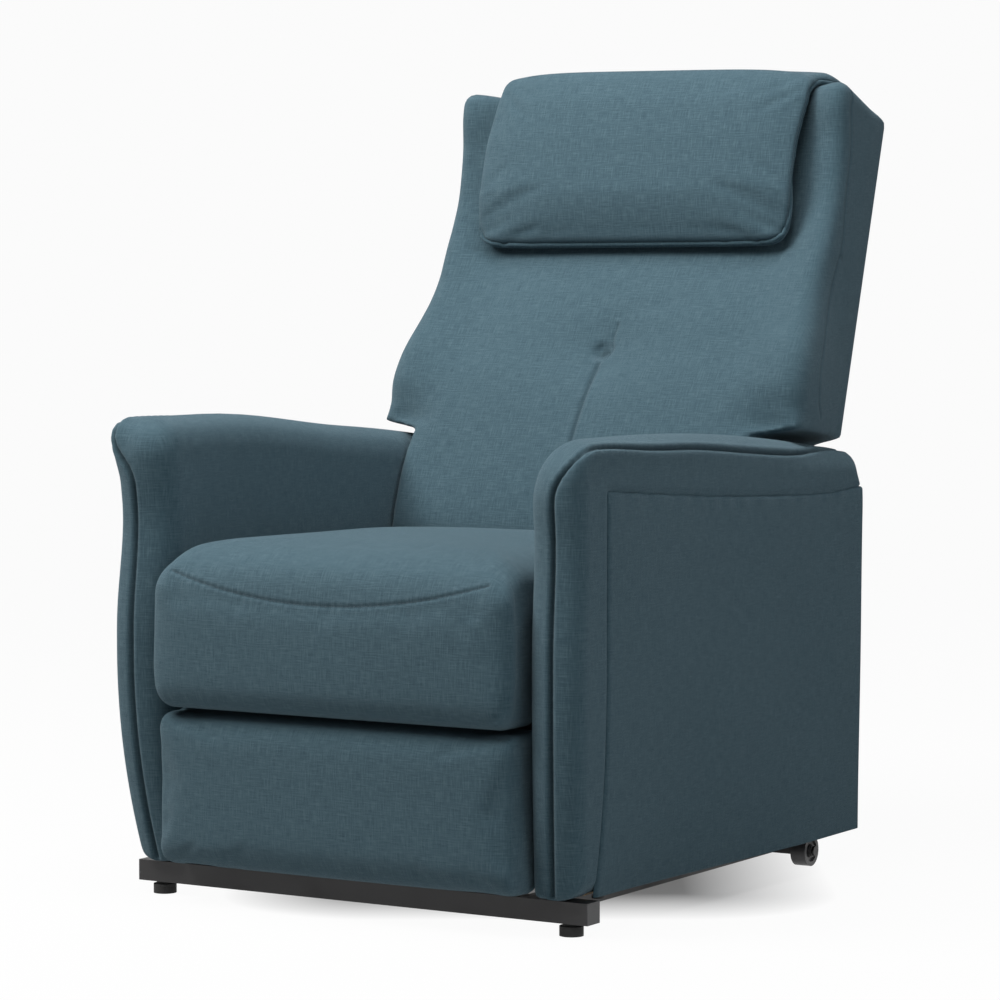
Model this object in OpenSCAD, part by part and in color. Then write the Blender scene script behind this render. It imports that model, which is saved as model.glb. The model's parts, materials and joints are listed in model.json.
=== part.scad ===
// Lift recliner chair: steel lift base, recliner mechanism, upholstered arms, seat,
// legrest, back and head pillow. Millimetres. X is across the chair, Y runs to the rear
// and is measured from the front feet, Z is up from the floor. place() moves the chair
// so that the origin lies on the floor under its middle.

/* [Overall] */
// Half of the width over the arms
half_w = 350; // [330:1:380]
// Half of the clear width between the arms
arm_in = 268; // [262:1:276]
// Height of the underside of the arms
arm_bottom = 46; // [46:1:52]
// Y of the rear edge of the arms
arm_rear = 724; // [715:1:735]
// Height of the arm's crown at its highest
arm_top = 601; // [590:1:602]
// How far the arm's front bows ahead of the feet
arm_bow = 54; // [48:1:62]

/* [Seat and legrest] */
// Height of the seat's top surface
seat_top = 460; // [440:1:480]
// How far the seat's nose reaches ahead of the feet
nose = 60; // [52:1:70]
// Y of the seat's rear end
seat_rear = 475; // [460:1:476]
// Height of the crease between seat and legrest
crease_z = 252; // [250:1:258]
// Gap between upholstered pieces that move past each other
soft_gap = 4; // [3:0.5:6]
// Height of the legrest's lower edge
legrest_low = 52; // [50:1:70]
// Thickness of the legrest pad
legrest_pad_t = 42; // [30:1:48]

/* [Back] */
// Rake of the back from upright, in degrees
rake = 17.3; // [15:0.1:19]
// Half width of the back above the arms
back_half = 312; // [300:1:325]
// Height of the back's cushion along the rake, from its pivot
back_top = 790; // [775:1:800]
// Thickness of the head pillow's front pad
pillow_t = 54; // [40:1:60]
// Half width of the head pillow
pillow_half = 248; // [220:1:270]

/* [Lift base] */
// Half length of the front rail
rail_half = 335; // [315:1:345]
// Height of the underside of the base rails
rail_low = 16; // [14:1:20]
// Height of the base rails' section
rail_h = 27; // [24:1:28]
// Width of the front rail's section
rail_w = 30; // [24:1:34]
// Wall of the base rails
rail_wall = 2; // [1.5:0.1:3]
// Diameter of the front feet
foot_d = 30; // [24:1:36]
// Distance of the feet and wheels from the middle
foot_x = 307; // [290:1:318]
// Diameter of the rear wheels
wheel_d = 42; // [36:1:43]
// Width of the rear wheels
wheel_w = 22; // [16:1:24]
// Y of the wheels' axle
wheel_y = 645; // [620:1:655]

/* [Linkage] */
// Diameter of the linkage pins
pin_d = 12; // [10:0.5:13]
// Diameter added to the bores that turn on the pins
pin_fit = 0.2; // [0.1:0.05:0.4]
// Thickness of the links
link_t = 4.5; // [3.5:0.1:4.7]
// Thickness of the side plates
plate_t = 5; // [4:0.5:8]
// Diameter of the cross bars
bar_d = 25; // [20:1:28]

/* [Hand control] */
// Length of the hand control
handset_l = 160; // [140:1:170]
// Width of the hand control
handset_w = 56; // [48:1:60]
// Thickness of the hand control
handset_t = 20; // [16:1:22]

/* [Hidden] */
$fn = 48;
wall_gap = 0.3;                       // seat of a soft piece on its neighbour
pivot = [600, 300];                   // Y and Z of the back's pivot
shell_t = 6.5;
shell_u = 74.5;                       // rear face of the back, square to the rake
shell_top = back_top - 20;
shell_low = 30;
rear_y = pivot[0] + shell_top * sin(rake) + shell_u * cos(rake);
mid_y = (rear_y - nose) / 2;
rail_top = rail_low + rail_h;
side_rail_w = 22;

// planes across the chair, from the side plates inwards
plate_x = 250;
short_x = plate_x - 1.5 - link_t;     // short lift link
long_x = short_x - 3 - link_t;        // long lift link
leg_a_x = long_x - 3.3 - link_t;      // legrest drive link and idler
leg_b_x = leg_a_x - 0.5 - link_t;     // legrest bars
head_t = 2.2;

// pivots of the lift: [Y, Z]
lift_a = [65, 83];
lift_b = [141, 87];
lift_c = [335, 86];
lift_d = [484, 90];
lift_bend = [118, 132];               // the short link passes over the pin at lift_b
// pivots of the legrest
leg_p = [203, 221];
leg_p2 = [329, 227];
leg_k = [254, 71];
leg_s = leg_k + leg_p2 - leg_p;
leg_q = [27, 210];
leg_drop = [0, -42];
leg_t = leg_k + leg_drop;
leg_u = leg_q + leg_drop;
leg_w = 17;
lift_w = 26;
// cross bars
bar_1 = [360, 250];
bar_2 = lift_d + [36, 80];
// actuator pivots
lift_foot = [60, 60];
crank_r = 36;
crank_a = -55;
crank_sag = 4.7;                      // half of the rod's side travel in its housing
crank_pin = leg_p + crank_r * [cos(crank_a), sin(crank_a)];
lever_r = 70;
lever_a = -40;
lever_pin = pivot + lever_r * [cos(lever_a), sin(lever_a)];
legrest_act_x = -110;
back_act_x = 110;
// seat frame
seat_rail_z = 274;
seat_rail_h = 26;
seat_base = seat_rail_z + seat_rail_h;
seat_half = arm_in - soft_gap;
apron_y = 700;
seat_front_y = 10;
seat_frame_rear = 560;
// back frame, square to the rake (u) and along it (w)
post_x = 215;
post_w = plate_x - 7 - post_x;
post_u = 20;
post_du = 40;
post_top = 740;
mid_rail_w = 390;
back_rail_h = 36;
arm_joint_w = 277;                    // where the wings start above the arms
// hand control in its pocket in the left-hand arm
pocket_z = 250;
pocket_h = 268;
pocket_d = 27;
pocket_y = 300;
handset_gap = 3;
rocker_w = 26;
rocker_l = 20;
rocker_depth = 4;
rocker_z0 = 108;
rocker_pitch = 20 + 1.6 + 1;

// ---------------------------------------------------------------- helpers
module place() {
    translate([0, -mid_y, 0]) children();
}

// both sides, mirrored
module pair() {
    children();
    mirror([1, 0, 0]) children();
}

module left() {
    mirror([1, 0, 0]) children();
}

// a cylinder along X, from x to x + l, centred on p = [Y, Z]
module xrod(p, x, l, d) {
    translate([x, p[0], p[1]]) rotate([0, 90, 0]) cylinder(d = d, h = l);
}

// a flat link between two pivots: a bar that is a little thinner than its two round bosses
module link_body(p, q, x, w, t) {
    run = q - p;
    bar = w - 3;
    step = 0.2;
    xrod(p, x, t, w);
    xrod(q, x, t, w);
    translate([x + step, p[0], p[1]]) rotate([atan2(run[1], run[0]), 0, 0])
        translate([0, 0, -bar / 2]) cube([t - 2 * step, norm(run), bar]);
}

// a pin that stands inwards from a face at x, with a head on its end
module pin(p, x, l, head = true) {
    xrod(p, x - l, l, pin_d);
    if (head) xrod(p, x - l - head_t, head_t, pin_d + 8);
}

module bore(p, x, t) {
    xrod(p, x - 1, t + 2, pin_d + pin_fit);
}

// a square tube along Y with open ends
module rail_tube(x, w, y0, y1, z, h) {
    translate([x, y0, z]) difference() {
        cube([w, y1 - y0, h]);
        translate([rail_wall, -1, rail_wall])
            cube([w - 2 * rail_wall, y1 - y0 + 2, h - 2 * rail_wall]);
    }
}

// a square tube along X with open ends
module cross_tube(half, y, w, z, h) {
    translate([-half, y, z]) difference() {
        cube([2 * half, w, h]);
        translate([-1, rail_wall, rail_wall])
            cube([2 * half + 2, w - 2 * rail_wall, h - 2 * rail_wall]);
    }
}

// an outline in the Y-Z plane, extruded along X
module slab(points, x, l) {
    translate([x, 0, 0]) rotate([90, 0, 90]) linear_extrude(l) polygon(points);
}

// the back's own frame: Y is square to the rake, Z runs along it
module on_back() {
    translate([0, pivot[0], pivot[1]]) rotate([-rake, 0, 0]) children();
}

function arc(c, r, a0, a1, n) =
    [for (i = [0 : n]) c + r * [cos(a0 + (a1 - a0) * i / n), sin(a0 + (a1 - a0) * i / n)]];

// ---------------------------------------------------------------- lift base
module base_front_rail() {
    color([0.13, 0.13, 0.14]) place() cross_tube(rail_half, -5, rail_w, rail_low, rail_h);
}

module base_rail_caps() {
    cap_t = 3;
    color([0.07, 0.07, 0.07]) place() pair()
        translate([rail_half, -5, rail_low]) union() {
            cube([cap_t, rail_w, rail_h]);
            translate([-12, rail_wall, rail_wall])
                cube([12 + cap_t, rail_w - 2 * rail_wall, rail_h - 2 * rail_wall]);
        }
}

module side_rail() {
    rail_tube(plate_x - 11, side_rail_w, rail_w - 5, wheel_y - 12, rail_low, rail_h);
}

module base_side_rail_left() {
    color([0.13, 0.13, 0.14]) place() left() side_rail();
}

module base_side_rail_right() {
    color([0.13, 0.13, 0.14]) place() side_rail();
}

// the rear rail carries the wheels' axles on its closed ends
module base_rear_rail() {
    rear_half = foot_x - 18;
    axle_l = wheel_w + 7;
    color([0.13, 0.13, 0.14]) place() union() {
        cross_tube(rear_half, wheel_y - 12, 24, rail_low, rail_h - 2);
        pair() {
            translate([rear_half - 2, wheel_y - 12, rail_low]) cube([2, 24, rail_h - 2]);
            xrod([wheel_y, wheel_d / 2], rear_half, axle_l, 8);
            xrod([wheel_y, wheel_d / 2], rear_half + axle_l, 3, 14);
        }
    }
}

module lift_bracket() {
    union() {
        slab([[44, rail_top], [44, 88], [56, 100], [150, 104], [162, 92], [162, rail_top]],
            plate_x, plate_t);
        pin(lift_a, plate_x, plate_x - short_x + 0.3);
        pin(lift_b, plate_x, plate_x - long_x + 0.3);
    }
}

module lift_bracket_left() {
    color([0.16, 0.16, 0.17]) place() left() lift_bracket();
}

module lift_bracket_right() {
    color([0.16, 0.16, 0.17]) place() lift_bracket();
}

module lift_clevis() {
    color([0.16, 0.16, 0.17]) place() union() {
        for (x = [-18, 13])
            slab([[rail_w - 5, rail_low + 6], [rail_w - 5, rail_top], [50, 74], [68, 74],
                [74, 60], [68, 46], [50, rail_low + 6]], x, 5);
        xrod(lift_foot, -20, 40, pin_d);
    }
}

module front_feet() {
    color([0.05, 0.05, 0.05]) place() pair()
        translate([foot_x, rail_w / 2 - 5, 0]) union() {
            cylinder(d = foot_d, h = rail_low - 4);
            translate([0, 0, rail_low - 4]) cylinder(d = foot_d - 8, h = 4);
        }
}

module rear_wheel() {
    x0 = foot_x - 18 + 3.5;
    color([0.09, 0.09, 0.09]) difference() {
        union() {
            xrod([wheel_y, wheel_d / 2], x0, wheel_w, wheel_d);
            xrod([wheel_y, wheel_d / 2], x0 - 2, wheel_w + 4, 16);
        }
        xrod([wheel_y, wheel_d / 2], x0 - 5, wheel_w + 10, 8.2);
        for (x = [x0 - 1, x0 + wheel_w - 3])
            difference() {
                xrod([wheel_y, wheel_d / 2], x, 4, wheel_d - 12);
                xrod([wheel_y, wheel_d / 2], x - 1, 6, 18);
            }
    }
}

module rear_wheel_left() {
    place() left() rear_wheel();
}

module rear_wheel_right() {
    place() rear_wheel();
}

// ---------------------------------------------------------------- lift links
module long_link() {
    difference() {
        link_body(lift_b, lift_d, long_x, lift_w, link_t);
        bore(lift_b, long_x, link_t);
        bore(lift_d, long_x, link_t);
    }
}

module lift_long_link_left() {
    color([0.30, 0.31, 0.33]) place() left() long_link();
}

module lift_long_link_right() {
    color([0.30, 0.31, 0.33]) place() long_link();
}

module lift_cross_tube() {
    at = lift_d + (lift_b - lift_d) * 0.157;
    color([0.13, 0.13, 0.14]) place() difference() {
        xrod(at, -long_x, 2 * long_x, 18);
        xrod(at, -long_x - 1, 2 * long_x + 2, 14);
    }
}

// the pin at lift_c has play, because the four-bar is opened there
module short_link() {
    play = 4.4;
    difference() {
        union() {
            link_body(lift_a, lift_bend, short_x, lift_w - 2, link_t);
            link_body(lift_bend, lift_c, short_x, lift_w - 2, link_t);
            xrod(lift_c, short_x, link_t, lift_w + 2);
        }
        bore(lift_a, short_x, link_t);
        xrod(lift_c, short_x - 1, link_t + 2, pin_d + play);
    }
}

module lift_short_link_left() {
    color([0.30, 0.31, 0.33]) place() left() short_link();
}

module lift_short_link_right() {
    color([0.30, 0.31, 0.33]) place() short_link();
}

// ---------------------------------------------------------------- actuators
// housing along +Y from its pivot: eye, gearbox, tube and a motor beside it
module housing(eye_bore, eye_w, tube_from, tube_to, tube_d, tube_bore, motor_side) {
    block_l = tube_from + 14 - 20;
    difference() {
        union() {
            xrod([0, 0], -eye_w / 2, eye_w, eye_bore + 14);
            translate([-eye_w / 2, 0, -9]) cube([eye_w, 24, 18]);
            translate([-20, 22, -20]) cube([40, block_l - 2, 40]);
            translate([-16, 40, motor_side > 0 ? 16 : -52]) cube([32, 34, 36]);
            translate([0, 22 + block_l - 4, 0]) rotate([-90, 0, 0])
                cylinder(d = tube_d, h = tube_to - 18 - block_l);
            translate([0, 38, motor_side * 46]) rotate([-90, 0, 0])
                cylinder(d = 40, h = 88);
        }
        xrod([0, 0], -eye_w / 2 - 1, eye_w + 2, eye_bore);
        translate([0, tube_from, 0]) rotate([-90, 0, 0])
            cylinder(d = tube_bore, h = tube_to);
    }
}

// rod from its pin back towards the housing, along -Y
module rod(eye_bore, eye_w, l, d) {
    difference() {
        union() {
            xrod([0, 0], -eye_w / 2, eye_w, eye_bore + 12);
            translate([0, -l, 0]) rotate([-90, 0, 0])
                cylinder(d = d, h = l - eye_bore / 2 - 2);
        }
        xrod([0, 0], -eye_w / 2 - 1, eye_w + 2, eye_bore);
    }
}

// puts a piece drawn along +Y on the line from p to q, with its origin at p
module aim(p, q, x) {
    run = q - p;
    translate([x, p[0], p[1]]) rotate([atan2(run[1], run[0]), 0, 0]) children();
}

// puts a piece drawn along -Y on the line from p to q, with its origin at q
module aim_back(p, q, x) {
    run = q - p;
    translate([x, q[0], q[1]]) rotate([atan2(run[1], run[0]), 0, 0]) children();
}

module lift_actuator() {
    color([0.10, 0.10, 0.11]) place() aim(lift_foot, bar_1, 0)
        housing(pin_d + pin_fit, 24, 118, 250, 34, 22, -1);
}

module lift_actuator_rod() {
    color([0.72, 0.73, 0.75]) place() aim_back(lift_foot, bar_1, 0)
        rod(bar_d + pin_fit, 24, 228, 20);
}

// the crank's pin swings on an arc, so the rod lies above its housing's axis at rest and
// at the end of its travel, and below it between them
module legrest_actuator() {
    color([0.10, 0.10, 0.11]) place() aim(bar_2, crank_pin - [0, crank_sag], legrest_act_x)
        housing(bar_d + pin_fit, 24, 118, 215, 35, 27, -1);
}

module legrest_actuator_rod() {
    color([0.72, 0.73, 0.75]) place() translate([0, 0, crank_sag])
        aim_back(bar_2, crank_pin - [0, crank_sag], legrest_act_x)
            rod(pin_d + pin_fit, 12, 150, 16);
}

module back_actuator() {
    color([0.10, 0.10, 0.11]) place() aim(bar_1, lever_pin, back_act_x)
        housing(bar_d + pin_fit, 24, 118, 196, 34, 25, -1);
}

module back_actuator_rod() {
    color([0.72, 0.73, 0.75]) place() aim_back(bar_1, lever_pin, back_act_x)
        rod(pin_d + pin_fit, 14, 118, 20);
}

// ---------------------------------------------------------------- chair frame
module side_plate() {
    difference() {
        union() {
            slab(concat([leg_p - [23, 21], [seat_front_y, seat_rail_z - 34],
                [seat_front_y, seat_base]],
                [for (d = [[-40, 0], [-20, 30], [20, 30], [32, 0], [20, -38]]) pivot + d],
                [for (d = [[40, 60], [32, 6], [20, -18], [-18, -18], [-44, 20]]) lift_d + d],
                [for (d = [[37, 32], [19, -16], [-17, -18], [-35, 24], [-51, 110]]) lift_c + d]),
                plate_x, plate_t);
            pin(lift_c, plate_x, plate_x - short_x + 0.3);
            pin(lift_d, plate_x, plate_x - long_x + 0.3);
            pin(leg_p, plate_x, plate_x - leg_a_x + 4, false);
            pin(leg_p2, plate_x, plate_x - leg_a_x + 0.3);
            pin(pivot, plate_x, 7.3);
        }
        xrod(bar_1, plate_x - 1, plate_t + 2, 9);
        xrod(bar_2, plate_x - 1, plate_t + 2, 9);
    }
}

module side_plate_left() {
    color([0.14, 0.14, 0.15]) place() left() side_plate();
}

module side_plate_right() {
    color([0.14, 0.14, 0.15]) place() side_plate();
}

module crossbar(p) {
    difference() {
        union() {
            xrod(p, -plate_x, 2 * plate_x, bar_d);
            pair() xrod(p, plate_x, plate_t, 9);
        }
        xrod(p, -plate_x + 20, 2 * plate_x - 40, bar_d - 5);
    }
}

module crossbar_front() {
    color([0.14, 0.14, 0.15]) place() crossbar(bar_1);
}

module crossbar_rear() {
    color([0.14, 0.14, 0.15]) place() crossbar(bar_2);
}

module seat_rails() {
    rail_in = 24;
    color([0.72, 0.58, 0.40]) place() pair()
        translate([plate_x - rail_in, seat_front_y, seat_rail_z])
            cube([rail_in, seat_frame_rear - seat_front_y, seat_rail_h]);
}

module seat_cross_rails() {
    half = plate_x - 24;
    color([0.72, 0.58, 0.40]) place() for (y = [seat_front_y, seat_frame_rear - 25])
        translate([-half, y, seat_rail_z]) cube([2 * half, 25, seat_rail_h]);
}

// a zigzag spring of round wire, from a clip on the front cross rail to one on the rear
module zigzag(x, bays, wire, width) {
    clip = 9;
    y0 = seat_front_y + 25;
    y1 = seat_frame_rear - 25;
    pitch = (y1 - y0 - clip) / bays;
    z = seat_base - 6;
    for (i = [0 : bays])
        translate([x - width / 2, y0 + clip / 2 + i * pitch, z]) rotate([0, 90, 0])
            cylinder(d = wire, h = width, $fn = 16);
    for (i = [0 : bays - 1]) {
        side = i % 2 == 0 ? 1 : -1;
        translate([x + side * width / 2, y0 + clip / 2 + i * pitch, z]) rotate([-90, 0, 0])
            cylinder(d = wire, h = pitch, $fn = 16);
    }
    for (y = [y0, y1 - clip]) translate([x - 7, y, z - 4]) cube([14, clip, 8]);
}

module seat_springs() {
    color([0.45, 0.46, 0.48]) place() for (x = [-165, -55, 55, 165]) zigzag(x, 10, 4, 44);
}

module seat_cushion() {
    top_r = 62;
    low_r = 22;
    outline = concat(
        [[seat_rear, seat_base], [seat_front_y - 2, seat_base], [seat_front_y - 2, crease_z]],
        arc([-nose + low_r, crease_z + low_r], low_r, 270, 180, 5),
        arc([-nose + top_r, seat_top - top_r], top_r, 180, 90, 9),
        [[seat_rear, seat_top]]);
    color([0.27, 0.36, 0.41]) place() slab(outline, -seat_half, 2 * seat_half);
}

// ---------------------------------------------------------------- arms
bow_mid = 375;
function arm_front(z) = -arm_bow + 5.1e-4 * pow(z - bow_mid, 2);
function arm_crown(y) = arm_top - 1.2e-4 * pow(y - 150, 2);
corner_r = 56;
rear_r = 30;
corner_c = [arm_front(arm_top - corner_r) + corner_r, arm_top - corner_r - 1];

arm_outline = concat(
    [for (z = [arm_bottom : 50 : corner_c[1] - 20]) [arm_front(z), z]],
    arc(corner_c, corner_r, 180, 90, 8),
    [for (y = [120 : 115 : 640]) [y, arm_crown(y)]],
    arc([arm_rear - rear_r, arm_crown(arm_rear - rear_r) - rear_r], rear_r, 90, 0, 5),
    [[arm_rear - 10, arm_bottom]]);

panel_y0 = 24;
panel_z1 = 524;
panel_t = 4;
board_x = half_w - 54;
board_t = 16;
arm_board_y = 30;
arm_board_l = arm_rear - 70;
arm_board_h = arm_top - 84 - arm_bottom;

// the upholstered arm, with a pocket for its board and a step for the side panel
module arm_solid(hand) {
    difference() {
        slab(arm_outline, arm_in, half_w - arm_in);
        translate([board_x - wall_gap, arm_board_y, arm_bottom - 1])
            cube([board_t + 2 * wall_gap, arm_board_l, arm_board_h + 1]);
        translate([half_w - panel_t - wall_gap, panel_y0, arm_bottom - 1])
            cube([panel_t + 2, arm_rear, panel_z1 - arm_bottom + 1]);
        if (hand < 0) pocket_cut();
    }
}

module pocket_cut() {
    translate([half_w - pocket_d, pocket_y, pocket_z])
        cube([pocket_d + 1, handset_w + 2 * handset_gap, pocket_h]);
}

module arm_left() {
    color([0.27, 0.36, 0.41]) place() left() arm_solid(-1);
}

module arm_right() {
    color([0.27, 0.36, 0.41]) place() arm_solid(1);
}

module arm_board() {
    color([0.70, 0.56, 0.38]) translate([board_x, arm_board_y + wall_gap, arm_bottom])
        cube([board_t, arm_board_l - 2 * wall_gap, arm_board_h - wall_gap]);
}

module arm_boards() {
    place() pair() arm_board();
}

module panel_plate() {
    slab([[panel_y0 + wall_gap, arm_bottom], [panel_y0 + wall_gap, panel_z1 - wall_gap],
        [arm_rear, panel_z1 - wall_gap], [arm_rear - 10, arm_bottom]],
        half_w - panel_t, panel_t);
}

// the left-hand panel has the hand control's pocket: an opening with a low front
module side_panel_left() {
    pocket_front = 92;
    color([0.27, 0.36, 0.41]) place() left() difference() {
        panel_plate();
        translate([half_w - panel_t - 1, pocket_y, pocket_z + pocket_front])
            cube([panel_t + 2, handset_w + 2 * handset_gap, pocket_h - pocket_front]);
    }
}

module side_panel_right() {
    color([0.27, 0.36, 0.41]) place() panel_plate();
}

module arm_spacers() {
    reach = arm_in - plate_x - plate_t;
    color([0.60, 0.61, 0.63]) place() pair() for (p = [[60, 280], [250, 280], [440, 280],
        [490, 130]])
        difference() {
            xrod(p, plate_x + plate_t, reach, 18);
            xrod(p, plate_x + plate_t - 1, reach + 2, 8);
        }
}

module arm_glides() {
    glide_h = 3.5;
    color([0.05, 0.05, 0.05]) place() pair() for (y = [45, 500, arm_rear - 24])
        translate([half_w - 26, y, arm_bottom - glide_h]) cylinder(d = 16, h = glide_h);
}

module rear_apron() {
    color([0.27, 0.36, 0.41]) place() translate([-arm_in, apron_y, 60])
        cube([2 * arm_in, 8, 200]);
}

module control_box() {
    color([0.09, 0.09, 0.10]) place() difference() {
        translate([-70, apron_y - 36, 120]) cube([120, 36, 70]);
        for (x = [-55, -30, -5, 20]) translate([x, apron_y - 37, 142]) cube([12, 9, 12]);
    }
}

// the mains inlet is the recess in the power supply's underside
module power_supply() {
    color([0.09, 0.09, 0.10]) place() difference() {
        translate([84, apron_y - 44, 110]) cube([120, 44, 62]);
        translate([130, apron_y - 32, 109]) cube([27, 19, 15]);
    }
}

// ---------------------------------------------------------------- legrest
module drive_link() {
    difference() {
        union() {
            link_body(leg_p, leg_k, leg_a_x, lift_w - 2, link_t);
            link_body(leg_k, leg_t, leg_a_x, leg_w, link_t);
            pin(leg_k, leg_a_x, leg_a_x - leg_b_x + 0.2);
            pin(leg_t, leg_a_x, leg_a_x - leg_b_x + 0.2);
        }
        bore(leg_p, leg_a_x, link_t);
    }
}

module legrest_drive_links() {
    color([0.30, 0.31, 0.33]) place() pair() drive_link();
}

// a hollow tube on the drive links' axis, with the actuator's crank
module legrest_torque_tube() {
    tube_od = 25;
    tube_id = 17;
    color([0.30, 0.31, 0.33]) place() difference() {
        union() {
            xrod(leg_p, -leg_a_x, 2 * leg_a_x, tube_od);
            for (x = [-13, 8]) link_body(leg_p, crank_pin, legrest_act_x + x, 22, 5);
            xrod(crank_pin, legrest_act_x - 10, 20, pin_d);
        }
        xrod(leg_p, -leg_a_x - 1, 2 * leg_a_x + 2, tube_id);
    }
}

module legrest_bar() {
    difference() {
        union() {
            link_body(leg_s, leg_k, leg_b_x, leg_w + 1, link_t);
            link_body(leg_k, leg_q, leg_b_x, leg_w + 1, link_t);
        }
        bore(leg_s, leg_b_x, link_t);
        bore(leg_k, leg_b_x, link_t);
        bore(leg_q, leg_b_x, link_t);
    }
}

module legrest_bars() {
    color([0.30, 0.31, 0.33]) place() pair() legrest_bar();
}

module legrest_idlers() {
    color([0.30, 0.31, 0.33]) place() pair() difference() {
        union() {
            link_body(leg_p2, leg_s, leg_a_x, lift_w - 4, link_t);
            pin(leg_s, leg_a_x, leg_a_x - leg_b_x + 0.2);
        }
        bore(leg_p2, leg_a_x, link_t);
    }
}

module legrest_stay_links() {
    color([0.30, 0.31, 0.33]) place() pair() difference() {
        link_body(leg_t, leg_u, leg_b_x, leg_w, link_t);
        bore(leg_t, leg_b_x, link_t);
        bore(leg_u, leg_b_x, link_t);
    }
}

board_y = 2;
legrest_board_t = 12;
module legrest_brackets() {
    face = board_y + legrest_board_t;
    color([0.30, 0.31, 0.33]) place() pair() union() {
        slab([[face, 150], [face, 228], [30, 226], [38, 214], [38, 164], [30, 152]],
            leg_a_x, link_t);
        translate([leg_a_x - 24, face, 226]) cube([24 + link_t, 3, 14]);
        pin(leg_q, leg_a_x, leg_a_x - leg_b_x + 0.2);
        pin(leg_u, leg_a_x, leg_a_x - leg_b_x + 0.2);
    }
}

module legrest_board() {
    color([0.72, 0.58, 0.40]) place()
        translate([-245, board_y, legrest_low + 10])
            cube([490, legrest_board_t, crease_z - soft_gap - legrest_low - 16]);
}

module legrest_pad() {
    top = crease_z - soft_gap - 2;
    low_r = 26;
    top_r = 12;
    outline = concat(
        [[board_y, legrest_low + 4]],
        [[board_y, top]],
        arc([board_y - legrest_pad_t + top_r, top - top_r], top_r, 90, 180, 4),
        arc([board_y - legrest_pad_t + low_r + 8, legrest_low + low_r], low_r, 180, 270, 6));
    color([0.27, 0.36, 0.41]) place() slab(outline, -seat_half, 2 * seat_half);
}

// ---------------------------------------------------------------- back
module back_brackets() {
    color([0.14, 0.14, 0.15]) place() on_back() pair() difference() {
        slab([[-24, -10], [-14, -24], [16, -24], [60, 30], [60, 250], [22, 250], [-24, 30]],
            plate_x - 7, plate_t);
        xrod([0, 0], plate_x - 8, plate_t + 2, pin_d + pin_fit);
    }
}

module back_posts() {
    color([0.72, 0.58, 0.40]) place() on_back() pair()
        translate([post_x, post_u, 10]) cube([post_w, post_du, post_top - 10]);
}

// cross rails between the posts; the lowest carries the actuator's lever
module back_rails() {
    lever = [cos(lever_a + rake), sin(lever_a + rake)] * lever_r;
    color([0.72, 0.58, 0.40]) place() on_back() union() {
        for (w = [18, mid_rail_w, post_top - 40])
            translate([-post_x, post_u, w]) cube([2 * post_x, post_du, back_rail_h]);
        for (x = [-16, 11]) link_body(lever, [42, 34], back_act_x + x, 20, 5);
        xrod(lever, back_act_x - 13, 26, pin_d);
        translate([-3, post_u + 12, 40]) cube([6, 12, mid_rail_w - 38]);
        translate([-3, post_u + 12, mid_rail_w + back_rail_h - 2])
            cube([6, 12, post_top - mid_rail_w - back_rail_h - 36]);
    }
}

module back_webbing() {
    color([0.80, 0.78, 0.70]) place() on_back()
        for (w = [90 : 90 : 660])
            translate([-post_x - post_w, post_u - 1.5, w]) cube([2 * (post_x + post_w), 1.5, 50]);
}

// the top of the back falls to the rear from u = -20
function top_line(u) = back_top - 0.163 * (u + 20);

// front contour of the cushion, from the seat up: the lumbar swell, then the hollow
// that the head pillow lies in
back_front = [[-142, 60], [-161, 118], [-156, 200], [-144, 280], [-130, 340], [-114, 385],
    [-96, 440], [-74, 500], [-54, 545], [-50, 600], [-60, 690], [-66, 755], [-58, 778]];

module back_cushion() {
    rear = shell_u - shell_t - 2;
    low = [[post_u - 3, 60], [post_u - 3, arm_joint_w - 8]];
    color([0.27, 0.36, 0.41]) place() on_back() union() {
        slab(concat(back_front, [[-40, back_top - 2], [-20, back_top], [rear, top_line(rear)],
            [rear, post_top + 2], [post_u - 3, post_top + 2], [post_u - 3, 60]]),
            -post_x - 10, 2 * post_x + 20);
        pair() slab([[-142, 60], [-161, 118], [-156, 200], [-147, arm_joint_w - 8], low[1],
            low[0]], post_x + 9, post_w - 10);
    }
}

// wings beside the cushion: full above the arms, narrower between them
wing_front = [[-94, arm_joint_w], [-118, 287], [-146, 322], [-145, 372], [-95, 449],
    [-49, 531], [-41, 580], [-70, 700], [-72, 762]];

module back_wings() {
    function foot_w(u) = arm_joint_w + (u - wing_front[0][0]) * 0.2;
    inner = post_x + 10 + wall_gap;
    outer_from = post_x + post_w + 5.5;
    rear = shell_u - shell_t - 0.5;
    outline = concat(wing_front, [[-50, back_top - 2], [-20, back_top], [rear, top_line(rear)],
        [rear, foot_w(rear)]]);
    color([0.27, 0.36, 0.41]) place() on_back() pair() difference() {
        slab(outline, inner, back_half - inner);
        slab([[post_u - 4, 200], [post_u - 4, 900], [rear + 10, 900], [rear + 10, 200]],
            inner - 1, outer_from - inner + 1);
    }
}

module back_shell() {
    low_half = plate_x - 2;
    color([0.27, 0.36, 0.41]) place() on_back() union() {
        translate([-low_half, shell_u - shell_t, shell_low])
            cube([2 * low_half, shell_t, arm_joint_w + 40 - shell_low]);
        translate([-back_half, shell_u - shell_t, arm_joint_w + 38])
            cube([2 * back_half, shell_t, shell_top - arm_joint_w - 38]);
        for (x = [-post_x - 20, post_x - 10])
            for (w = [100, 400, 650])
                translate([x, post_u + post_du, w])
                    cube([30, shell_u - shell_t - post_u - post_du + 1, 40]);
    }
}

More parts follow.
